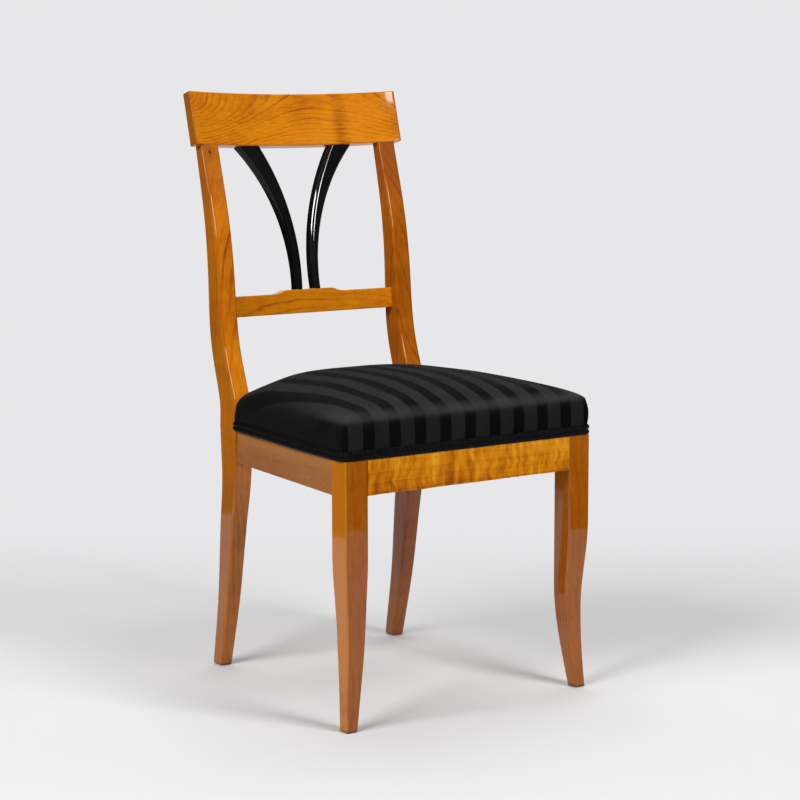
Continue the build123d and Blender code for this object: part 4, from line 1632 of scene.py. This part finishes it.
@dataclass
class StuffedSeat:
    """The stuffed-over seat: a crowned pad, whose cloth comes down over the rails and turns in."""

    plan: ChairPlan
    border_height: float = 40.0
    border_lean: float = 1.5
    belly: float = 1.6
    crown_height: float = 94.5
    crown_flat: float = 22.0
    crown_tip: float = 1.0
    crown_power: float = 1.2
    crown_turn: float = 88.0
    crown_share: float = 0.8
    flat_share: float = 0.1
    rear_drop: float = 24.0
    rear_drop_reach: float = 125.0
    full_border: float = 52.0
    full_power: float = 0.85
    full_reach: float = 0.4
    side_swell: float = 3.2
    swell_start: float = 0.5
    under: tuple[Pair, ...] = ((2.2, 0.0), (2.6, 15.6), (26.0, 15.6), (58.0, 47.8))
    stile_gap: float = 0.3
    corner: float = 12.6
    corner_growth: float = 1.5
    corner_limit: float = 0.8
    corner_least: float = 0.3
    braid_height: float = 14.5
    worn_rise: Pair = (48.0, 57.0)
    worn_inset: Pair = (24.0, 4.0)
    top_rise: Pair = (50.0, 66.0)
    plain_rise: Pair = (72.0, 28.0)
    half_cells: int = 52
    sharp: float = 70.0

    def corners(self, inset: float) -> list[Vector]:
        """The four corners of the seat's outline.

        Args:
            inset: How far the outline is drawn in.

        Returns:
            The corners: front left first, then round.
        """
        front, back = inset, self.plan.back_face - inset
        near, far = (self.plan.side_line(y, inset) for y in (front, back))
        return [Vector(p) for p in ((-near, front), (near, front), (far, back), (-far, back))]

    def along_outline(self, side: Side, share: float, inset: float, corner: float) -> Vector:
        """A point on the seat's rounded outline.

        Args:
            side: Which side of it.
            share: How far along, from the middle of one corner's arc to the middle of the next.
            inset: How far the outline is drawn in.
            corner: The radius of its corners.

        Returns:
            The plan point.
        """
        points = self.corners(inset)
        before, start, end, after = (points[(side.value + i) % 4] for i in (-1, 0, 1, 2))
        run = (end - start).normalized()
        turn_in, turn_out = (start - before).angle(run), run.angle(after - end)
        cut_in, cut_out = corner * math.tan(turn_in / 2), corner * math.tan(turn_out / 2)
        straight = (end - start).length - cut_in - cut_out
        arc_in, arc_out = corner * turn_in / 2, corner * turn_out / 2
        way = share * (arc_in + straight + arc_out) - arc_in
        if 0 <= way <= straight:
            return start + run * (cut_in + way)
        spot, angle = start + run * cut_in, way / corner
        if way > straight:
            spot, angle = end - run * cut_out, (way - straight) / corner
        inward = Vector((-run.y, run.x))
        return spot + (inward * (1 - math.cos(angle)) + run * math.sin(angle)) * corner

    def fullness(self, side: Side, share: float) -> float:
        """How far the pad has the full edge that it has in front.

        Args:
            side: Which side of the outline.
            share: How far along it.

        Returns:
            A share from 0 to 1.
        """
        if side in (Side.FRONT, Side.BACK):
            return 1.0 if side is Side.FRONT else 0.0
        behind = share if side is Side.RIGHT else 1 - share
        return 1 - smooth(behind / self.full_reach)

    def swell(self, side: Side, share: float) -> float:
        """How far the pad stands out over the rails at its sides."""
        at_side = side in (Side.LEFT, Side.RIGHT)
        return self.side_swell * (1 - self.fullness(side, share)) if at_side else 0.0

    def profile(self, share: float, full: float) -> Pair:
        """The pad's profile from the middle of the crown to the tack line.

        Args:
            share: How far along the profile, from 0 to 1.
            full: How far its edge is the full one of the front.

        Returns:
            How far the outline is drawn in there, and the height over the tack line.
        """
        middle = self.plan.back_face / 2
        border = mix(self.border_height, self.full_border, full)
        power = mix(self.crown_power, self.full_power, full)
        reach = min(middle, self.plan.side_line(middle, 0.0)) - self.crown_flat
        if share < self.flat_share:
            tip = reach + self.crown_flat - self.crown_tip
            return mix(tip, reach, share / self.flat_share), self.crown_height
        if share < self.crown_share:
            part = (share - self.flat_share) / (self.crown_share - self.flat_share)
            angle = math.radians(self.crown_turn * (1 - part))
            drawn = self.border_lean + (reach - self.border_lean) * (1 - math.cos(angle)) ** power
            return drawn, border + (self.crown_height - border) * math.sin(angle)
        part = (share - self.crown_share) / (1 - self.crown_share)
        rise = mix(border, 0.0, part)
        over = clamp01((rise - self.braid_height) / (border - self.braid_height))
        return self.border_lean * (1 - part) - self.belly * math.sin(math.pi * over), rise

    def pad(self, material: Material) -> None:
        """Makes the crowned, cloth-covered pad.

        Args:
            material: The cloth.
        """
        plan, half = self.plan, self.half_cells
        bench = Bench().grid(2 * half, 2 * half)
        layers = bench.bm.verts.layers.float
        run, plain, worn, top = [
            layers.new(f"cloth_{word}") for word in ("run", "plain", "worn", "top")
        ]
        hem: Hem = []
        for vertex in bench.bm.verts:
            i, j = (round((value - 0.5) * 2 * half) for value in vertex.co.xy)
            ring = max(abs(i), abs(j))
            side, share = self.ring_place(i, j)
            full = self.fullness(side, share)
            inset, rise = self.profile(ring / half, full)
            inset -= self.swell(side, share) * smooth(ring / half, self.swell_start)
            spot = Vector((0.0, plan.back_face / 2))
            if ring:
                spot = self.along_outline(side, share, inset, self.round_of(inset))
            if ring == half:
                hem.append((vertex, side, share))
            vertex[run] = spot.x * MM
            # cloth_worn: partly dust and partly painted sheen on the front roll
            vertex[worn] = full * smooth(rise, *self.worn_rise) * smooth(inset, *self.worn_inset)
            # cloth_top: painted light, paler matte over the top beyond the roll
            vertex[top] = smooth(rise, *self.top_rise)
            # cloth_plain: painted shade, the stripes fading on the sides below the roll
            if side in (Side.LEFT, Side.RIGHT):
                vertex[plain] = smooth(rise, *self.plain_rise)
            sunk = self.sunk(spot) * rise / self.crown_height
            vertex.co = plan.on_seat(spot.x, spot.y, rise - sunk)
        self.close_under(bench.bm, hem)
        self.notch(bench.bm)
        piece = bench.finish("stuffed_seat", material, self.sharp, even=False)
        settle(piece, "striped_cloth", "seat_cover", "hair_stuffing")

    @staticmethod
    def ring_place(i: int, j: int) -> tuple[Side, float]:
        """Where a point of a square grid lies on its ring.

        Args:
            i: Cells to the right of the middle.
            j: Cells behind the middle.

        Returns:
            The side of the ring, and how far along it the point is.
        """
        ring = max(abs(i), abs(j), 1)
        if j == -ring:
            side, step = Side.FRONT, i
        elif i == ring:
            side, step = Side.RIGHT, j
        elif j == ring:
            side, step = Side.BACK, -i
        else:
            side, step = Side.LEFT, -j
        return side, (step / ring + 1) / 2

    def close_under(self, bm: bmesh.types.BMesh, hem: Hem) -> None:
        """Turns the cloth in over the rails and closes the pad over the spring cloth.

        Args:
            bm: The pad's mesh.
            hem: The vertices at its lower edge, each with its place on the outline.
        """
        for inset, rise in self.under:
            rim = [e for e in bm.edges if e.is_boundary]
            made = bmesh.ops.extrude_edge_only(bm, edges=rim)["geom"]
            fresh = {v.co.copy().freeze(): v for v in made if isinstance(v, Vert)}
            turned = []
            for vertex, side, share in hem:
                new = fresh[vertex.co.copy().freeze()]
                drawn = inset - self.swell(side, share)
                spot = self.along_outline(side, share, drawn, self.round_of(inset))
                new.co = self.plan.on_seat(spot.x, spot.y, rise)
                turned.append((new, side, share))
            hem = turned
        bmesh.ops.holes_fill(bm, edges=[e for e in bm.edges if e.is_boundary], sides=0)

    def notch(self, bm: bmesh.types.BMesh) -> None:
        """Cuts the pad's rear corners out round the stiles.

        Args:
            bm: The pad's mesh.
        """
        inner = (self.plan.stile_inner - self.stile_gap) * MM
        face = self.plan.point(0, self.plan.seat_depth - self.stile_gap, 0).y
        side, back = (1, 0, 0), (0, 1, 0)
        for point, normal in (((inner, 0, 0), side), ((-inner, 0, 0), side), ((0, face, 0), back)):
            geometry = [*bm.verts, *bm.edges, *bm.faces]
            bmesh.ops.bisect_plane(
                bm, geom=geometry, dist=NOTCH_MERGE, plane_co=point, plane_no=normal
            )
        centres = ((f, f.calc_center_median()) for f in bm.faces)
        behind = [f for f, c in centres if abs(c.x) > inner and c.y > face]
        bmesh.ops.delete(bm, geom=behind, context="FACES")
        for hand in Hand:
            rim = [e for e in bm.edges if e.is_boundary and e.verts[0].co.x * hand.value > 0]
            ends = {v for e in rim for v in e.verts if abs(v.co.y - face) < TOUCH}
            posts = [v for v in ends if abs(abs(v.co.x) - inner) < TOUCH]
            low, high = (pick(posts, key=lambda v: v.co.z) for pick in (min, max))
            rim.append(bm.edges.new((low, high)))
            bmesh.ops.edgenet_fill(bm, edges=rim)

    def sunk(self, spot: Vector) -> float:
        """How far the stuffing falls away at a plan point, towards the rear corners."""
        rear = self.corners(0.0)[2]
        near = math.hypot(abs(spot.x) - rear.x, spot.y - rear.y) / self.rear_drop_reach
        return self.rear_drop * (1 - smooth(near))

    def round_of(self, inset: float) -> float:
        """The corner radius of an outline.

        Args:
            inset: How far the outline is drawn in.

        Returns:
            The radius.
        """
        wanted = self.corner + self.corner_growth * max(0.0, inset)
        back = self.plan.back_face - inset
        limit = min(self.plan.side_line(back, inset), (back - inset) / 2)
        return max(self.corner_least, min(wanted, self.corner_limit * limit))


@dataclass
class Braid:
    """The double-row braid that covers the tacks."""

    seat: StuffedSeat
    side_length: float = 370.0
    loop: float = 5.6
    loop_cells: int = 8
    rows: int = 14
    lobe_power: float = 0.7
    slant: float = 2.2
    bed: float = 0.2
    cord: float = 0.5
    relief: float = 1.9
    edge_wave: float = 0.35
    thickness: float = 0.3
    sharp: float = 80.0

    def build(self, name: str, node: str, span: Pair, material: Material) -> None:
        """Makes a stretch of the braid.

        Args:
            name: The piece's name.
            node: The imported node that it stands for.
            span: Its two ends, in sides of the outline from the front one's left end.
            material: Its finish.
        """
        seat = self.seat
        loops = round((span[1] - span[0]) * self.side_length / self.loop)

        def move(co: Vector) -> Vector:
            """Where a point of the flat braid goes."""
            place = mix(*span, co.x)
            side, share = Side(math.floor(place) % 4), place - math.floor(place)
            phase = co.x * loops * FULL_TURN
            across = (co.y * 2) % 1.0 if co.y < 1.0 else 1.0
            turn = phase + (math.pi if co.y > 0.5 else 0.0) + (across - 0.5) * self.slant
            lobe = math.sin(math.pi * across) ** self.lobe_power
            proud = self.bed + lobe * (self.cord + self.relief * (0.5 + 0.5 * math.sin(turn)))
            edge = self.edge_wave * math.sin(phase) if co.y in (0.0, 1.0) else 0.0
            out = proud + seat.swell(side, share)
            spot = seat.along_outline(side, share, -out, seat.corner + proud)
            return seat.plan.on_seat(spot.x, spot.y, co.y * seat.braid_height + edge)

        bench = Bench().grid(loops * self.loop_cells, self.rows).shape(move)
        piece = bench.solid(self.thickness * MM).finish(name, material, self.sharp, even=False)
        settle(piece, "braid", node)


@dataclass
class SpringBed:
    """The webbing straps under the springs and the hessian over them."""

    plan: ChairPlan
    strap_width: float = 50.0
    strap_thickness: float = 1.6
    strap_overlap: float = 16.0
    strap_gap: float = 0.15
    strap_fall: float = 10.0
    strap_cells: tuple[int, int] = (90, 10)
    pitch_across: float = 92.0
    pitch_along: float = 86.0
    gap: float = 0.3
    flange: float = 12.0
    bed: float = 0.2
    rise: float = 30.0
    rise_span: Pair = (0.92, 0.76)
    quilt: float = 1.2
    quilt_turn: float = 5.2
    quilt_span: Pair = (0.75, 0.45)
    thickness: float = 1.0
    cells: int = 60
    sharp: float = 60.0

    def strap_lines(self) -> tuple[list[float], list[float]]:
        """Middle lines of the webbing straps: places across the seat, and places along it."""
        across = [self.pitch_across * i for i in (-1, 0, 1)]
        return across, [self.plan.back_face / 2 + self.pitch_along * i for i in (-1, 0, 1)]

    def strap_rise(self, place: float, crossings: Sequence[float], over_first: bool) -> float:
        """Height of a strap over its bed, where it weaves over and under the others.

        Args:
            place: The place along the strap.
            crossings: Where it crosses the others.
            over_first: Whether it passes over the first of them.

        Returns:
            The height of its middle.
        """
        lift = (self.strap_thickness + self.strap_gap) / 2
        half = self.strap_width / 2
        rise = 0.0
        for i, crossing in enumerate(crossings):
            way = 1.0 if (i % 2 == 0) == over_first else -1.0
            near = 1 - smooth(abs(place - crossing), half, half + self.strap_fall)
            rise += way * lift * near
        return rise

    def strap(self, bench: Bench, along: bool, line: float, over_first: bool) -> None:
        """Lays one strap into a mesh.

        Args:
            bench: The mesh that holds the straps.
            along: Whether it runs from front to back.
            line: Its middle line.
            over_first: Whether it passes over the first strap that it crosses.
        """
        plan = self.plan
        across, lengthwise = self.strap_lines()
        if along:
            start = plan.rail_thickness - self.strap_overlap
            end = plan.back_face - plan.rail_thickness + self.strap_overlap
        else:
            end = plan.side_line(line, plan.rail_thickness) + self.strap_overlap
            start = -end
        cells, rows = self.strap_cells
        made = bmesh.ops.create_grid(bench.bm, x_segments=cells, y_segments=rows, size=0.5)
        for vertex in made["verts"]:
            place = mix(start, end, vertex.co.x + 0.5)
            sideways = line + vertex.co.y * self.strap_width
            rise = self.strap_rise(place, lengthwise if along else across, over_first)
            x, y = (sideways, place) if along else (place, sideways)
            vertex.co = plan.on_seat(x, y, -plan.rail_visible + rise)

    def webbing(self, along: bool, material: Material) -> None:
        """Makes the straps that run one way.

        Args:
            along: Whether they run from front to back.
            material: Their finish.
        """
        across, lengthwise = self.strap_lines()
        bench = Bench()
        for i, line in enumerate(across if along else lengthwise):
            self.strap(bench, along, line, (i % 2 == 0) == along)
        bench.solid(self.strap_thickness * MM, upward=True)
        word = "front_to_back" if along else "side_to_side"
        settle(bench.finish(f"straps_{word}", material), "webbing", f"webbing_{word}")

    def hessian(self, material: Material) -> None:
        """Makes the cloth that lies over the springs.

        Args:
            material: Its finish.
        """
        plan = self.plan
        front = plan.rail_thickness - self.flange
        near = plan.front_width / 2 - plan.leg_width - self.gap
        far = plan.stile_inner - 2 * self.gap

        def move(co: Vector) -> Vector:
            """Where a point of the flat cloth goes."""
            a, b = co.x * 2 - 1, co.y * 2 - 1
            reach = max(abs(a), abs(b))
            rise = self.bed + self.rise * smooth(reach, *self.rise_span)
            waves = math.cos(a * self.quilt_turn) * math.cos(b * self.quilt_turn)
            rise += self.quilt * waves * smooth(reach, *self.quilt_span)
            y = mix(front, plan.back_face - front, co.y)
            return plan.on_seat(a * mix(near, far, co.y), y, plan.rail_hidden + rise)

        bench = Bench().grid(self.cells, self.cells).shape(move).solid(self.thickness * MM)
        piece = bench.finish("spring_cloth", material, self.sharp)
        settle(piece, "hessian", "spring_hessian")


@dataclass(frozen=True)
class SoftBox:
    """One soft box: its place in the paper's frame and its size in metres, its power in watts."""

    name: str
    place: Triple
    size: Pair
    power: float


SOFT_BOXES = (
    SoftBox("right_box", (1.18, -1.13, 2.37), (0.8, 0.8), 13.5),
    SoftBox("right_strip", (1.44, -1.02, 2.145), (0.11, 0.55), 2.8),
    SoftBox("left_box", (-1.5, -1.6, 1.95), (1.3, 0.75), 48.0),
    SoftBox("right_low_box", (1.24, -1.12, 1.42), (0.5, 0.42), 11.0),
    SoftBox("top_box", (0.0, 0.9, 3.0), (2.4, 1.6), 30.0),
)


@dataclass
class Studio:
    """The paper, the lamps and the camera. The paper's own frame has +y away from the camera."""

    plan: ChairPlan
    eye: Triple = (-1808.1, -2406.0, 872.9)
    target: Triple = (-10.55, 164.55, 435.14)
    roll: float = -0.13
    lens: float = 96.31
    sensor: float = 36.0
    clip_end: float = 60.0
    paper_half: float = 1.30
    paper_front: float = 2.6
    bend_start: float = 1.7
    bend_radius: float = 0.9
    paper_top: float = 2.6
    paper_cells: tuple[int, int] = (8, 120)
    aim: Triple = (0.0, 0.0, 0.5)
    room_colour: Colour = (1.0, 1.0, 1.0)
    room_light: float = 0.04

    def turned(self, place: Triple) -> Vector:
        """A point of the paper's frame in the chair's frame."""
        return Matrix.Rotation(math.radians(CAMERA_TURN), 4, "Z") @ Vector(place)

    def paper(self, material: Material) -> None:
        """Makes the sweep of paper under and behind the chair.

        Args:
            material: The paper's finish.
        """
        quarter = self.bend_radius * QUARTER_TURN
        length = self.paper_front + self.bend_start + quarter + self.paper_top - self.bend_radius

        def move(co: Vector) -> Vector:
            """Where a point of the flat paper goes."""
            run = co.y * length - self.paper_front - self.bend_start
            x = mix(-self.paper_half, self.paper_half, co.x)
            if run < 0:
                return self.turned((x, run + self.bend_start, 0.0))
            turn = min(run / self.bend_radius, QUARTER_TURN)
            z = self.bend_radius * (1 - math.cos(turn)) + max(0.0, run - quarter)
            return self.turned((x, self.bend_start + self.bend_radius * math.sin(turn), z))

        bench = Bench().grid(*self.paper_cells).shape(move)
        sweep = bench.finish("paper_sweep", material, even=False)
        if sweep.data.polygons[0].normal.z < 0:
            sweep.data.flip_normals()

    def lamps(self) -> None:
        """Hangs the soft boxes, which point at the chair, and sets the room's own light."""
        for box in SOFT_BOXES:
            light = bpy.data.lights.new(box.name, "AREA")
            light.shape = "RECTANGLE"
            light.size, light.size_y = box.size
            light.energy = box.power
            lamp = bpy.data.objects.new(box.name, light)
            lamp.location = self.turned(box.place)
            facing = (Vector(self.aim) - lamp.location).to_track_quat("-Z", "Y")
            lamp.rotation_euler = facing.to_euler()
            bpy.context.scene.collection.objects.link(lamp)
        world = bpy.data.worlds.new("studio_room")
        world.use_nodes = True
        room = world.node_tree.nodes["Background"].inputs
        room["Color"].default_value = (*self.room_colour, 1.0)
        room["Strength"].default_value = self.room_light
        bpy.context.scene.world = world

    def camera(self) -> None:
        """Sets up the camera at the photograph's viewing angle."""
        eye, target = self.plan.point(*self.eye), self.plan.point(*self.target)
        data = bpy.data.cameras.new("photo_camera")
        data.sensor_width = self.sensor
        data.lens = self.lens
        data.clip_end = self.clip_end
        camera = bpy.data.objects.new("photo_camera", data)
        facing = (target - eye).to_track_quat("-Z", "Y").to_matrix().to_4x4()
        tilt = Matrix.Rotation(math.radians(self.roll), 4, "Z")
        camera.matrix_world = Matrix.Translation(eye) @ facing @ tilt
        bpy.context.scene.collection.objects.link(camera)
        bpy.context.scene.camera = camera


CREST_CHERRY = CrestCherry(
    "cherry_crest",
    Grain.ACROSS_CHAIR,
    pale=(0.90, 0.352, 0.012),
    warm=(0.74, 0.230, 0.003),
    deep=(0.38, 0.088, 0.001),
    ring_pitch=0.0044,
    ring_strength=0.44,
    faint=0.2,
    flame=0.42,
    flame_pitch=0.05,
    tints=(Tint(0, 0.1862, 0.1884, 0.62, (0.16, 0.040, 0.004)),),
)
LEVEL_CHERRY = CherryFinish(
    "cherry_level",
    Grain.ACROSS_CHAIR,
    pale=(0.88, 0.345, 0.006),
    warm=(0.72, 0.217, 0.002),
    deep=(0.35, 0.072, 0.001),
    pith=(0.50, 0.25),
    lean=(0.05, 0.03),
    ring_strength=0.36,
    seed=0.7,
)
LEG_CHERRY = LegCherry(
    "cherry_front_leg",
    Grain.UPRIGHT,
    pale=(0.56, 0.174, 0.004),
    warm=(0.39, 0.098, 0.0008),
    deep=(0.17, 0.034, 0.0005),
    # painted light: the outer side faces paled, as they stand brighter than the fronts under the
    # lamps
    tints=(Tint(0, 0.2140, 0.2162, 0.6, (0.65, 0.215, 0.003)),),
    pith=(0.02, -0.6),
    lean=(0.03, 0.015),
    ring_pitch=0.006,
    ring_strength=0.2,
    flame=0.16,
)
SIDE_CHERRY = CherryFinish(
    "cherry_side_rail",
    Grain.FRONT_TO_BACK,
    pale=(0.50, 0.21, 0.075),
    warm=(0.385, 0.145, 0.045),
    deep=(0.22, 0.068, 0.018),
    tints=(Tint(2, 0.350, 0.374, 0.4, (0.56, 0.25, 0.062)),),
    pith=(0.95, 0.0),
    lean=(0.03, 0.0),
    ring_pitch=0.021,
    ring_strength=0.3,
    line_start=0.7,
    flame=0.12,
)
GIMP = ThreadFinish(
    "black_braid",
    (0.0015, 0.0015, 0.0015),
    (0.0045, 0.0045, 0.0047),
    thread=0.0012,
    roughness=0.32,
    sheen=0.0,
    specular=0.1,
)
JUTE = ThreadFinish("jute_webbing", (0.20, 0.13, 0.07), (0.46, 0.35, 0.21), thread=0.0024)
HESSIAN = ThreadFinish("spring_hessian", (0.16, 0.11, 0.06), (0.44, 0.33, 0.2), thread=0.0018)


def stile_cherry(hand: Hand) -> CherryFinish:
    """The cherry of one stile, which is paler on the left one.

    Args:
        hand: Which stile.

    Returns:
        Its finish.
    """
    pale, warm, deep, dimmed = {
        Hand.LEFT: ((0.87, 0.314, 0.006), (0.70, 0.196, 0.002), (0.32, 0.064, 0.001), 0.55),
        Hand.RIGHT: ((0.65, 0.212, 0.006), (0.50, 0.126, 0.0016), (0.23, 0.043, 0.0008), 0.8),
    }[hand]
    return CherryFinish(
        f"cherry_stile_{hand.word}",
        Grain.UPRIGHT,
        pale=pale,
        warm=warm,
        deep=deep,
        tints=(
            # painted shade: the outer side faces darkened, as they fall darker than the fronts under
            # the lamps
            Tint(0, 0.1720, 0.1775, 0.46, (0.20, 0.060, 0.003)),
            Tint(2, 0.66, 0.80, dimmed, (0.32, 0.076, 0.012)),
            # painted shade: the stile darkened from the seat down, where the seat shades it
            Tint(2, 0.40, 0.24, 0.4, (0.22, 0.058, 0.003)),
        ),
        pith=(0.06 * hand.value, 0.05),
        lean=(0.02, 0.06),
        ring_pitch=0.0085,
        ring_strength=0.44,
        flame=0.45,
        seed=0.3 * hand.value,
        knot=(-0.166, 0.20, 0.797),
    )


def dress(nodes: dict[str, Piece], names: Sequence[str], material: Material) -> None:
    """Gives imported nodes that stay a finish.

    Args:
        nodes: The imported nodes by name.
        names: Which of them are dressed.
        material: Their finish.
    """
    for name in names:
        nodes[name].data.materials.clear()
        nodes[name].data.materials.append(material)
        LOG.info("dressed %s", name)


def main() -> None:
    """Builds the chair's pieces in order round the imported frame."""
    logging.basicConfig(level=logging.INFO, format="%(name)s: %(message)s")
    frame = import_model()
    bpy.context.scene.view_settings.view_transform = "Standard"
    plan = ChairPlan()
    stay, legs, stiles, rails = StayRail(plan), FrontLegs(plan), Stiles(plan), SeatRails(plan)
    splats = Splats(plan, stay)

    level, leg, side = LEVEL_CHERRY.make(), LEG_CHERRY.make(), SIDE_CHERRY.make()
    ebony = EbonisedFinish().make()
    CrestRail(plan).build(CREST_CHERRY.make())
    stay.build(level)
    for hand in Hand:
        legs.build(hand, leg)
        stiles.build(hand, stile_cherry(hand).make())
        rails.side(hand, side)
        splats.build(hand, ebony)
    rails.rear(level)
    rails.front(FiguredVeneer().make())

    seat = StuffedSeat(plan)
    seat.pad(StripedCloth().make())
    braid, gimp = Braid(seat), GIMP.make()
    braid.build("seat_braid", "braid_front_and_sides", (-0.9, 1.9), gimp)
    braid.build("back_braid", "braid_back", (2.074, 2.926), gimp)
    bed, jute = SpringBed(plan), JUTE.make()
    for along in (True, False):
        bed.webbing(along, jute)
    bed.hessian(HESSIAN.make())

    nodes = frame["nodes"]
    blocks = [f"{end}_corner_block_{hand.word}" for end in ("front", "rear") for hand in Hand]
    dress(nodes, ["front_seat_rail", *blocks], RawWood().make())
    metal = ["corner_block_screws", "cover_tacks", "webbing_tacks", "seat_springs"]
    dress(nodes, metal, SteelFinish().make())

    studio = Studio(plan)
    studio.paper(PaperSweep().make())
    studio.lamps()
    studio.camera()


if __name__ == "__main__":
    main()
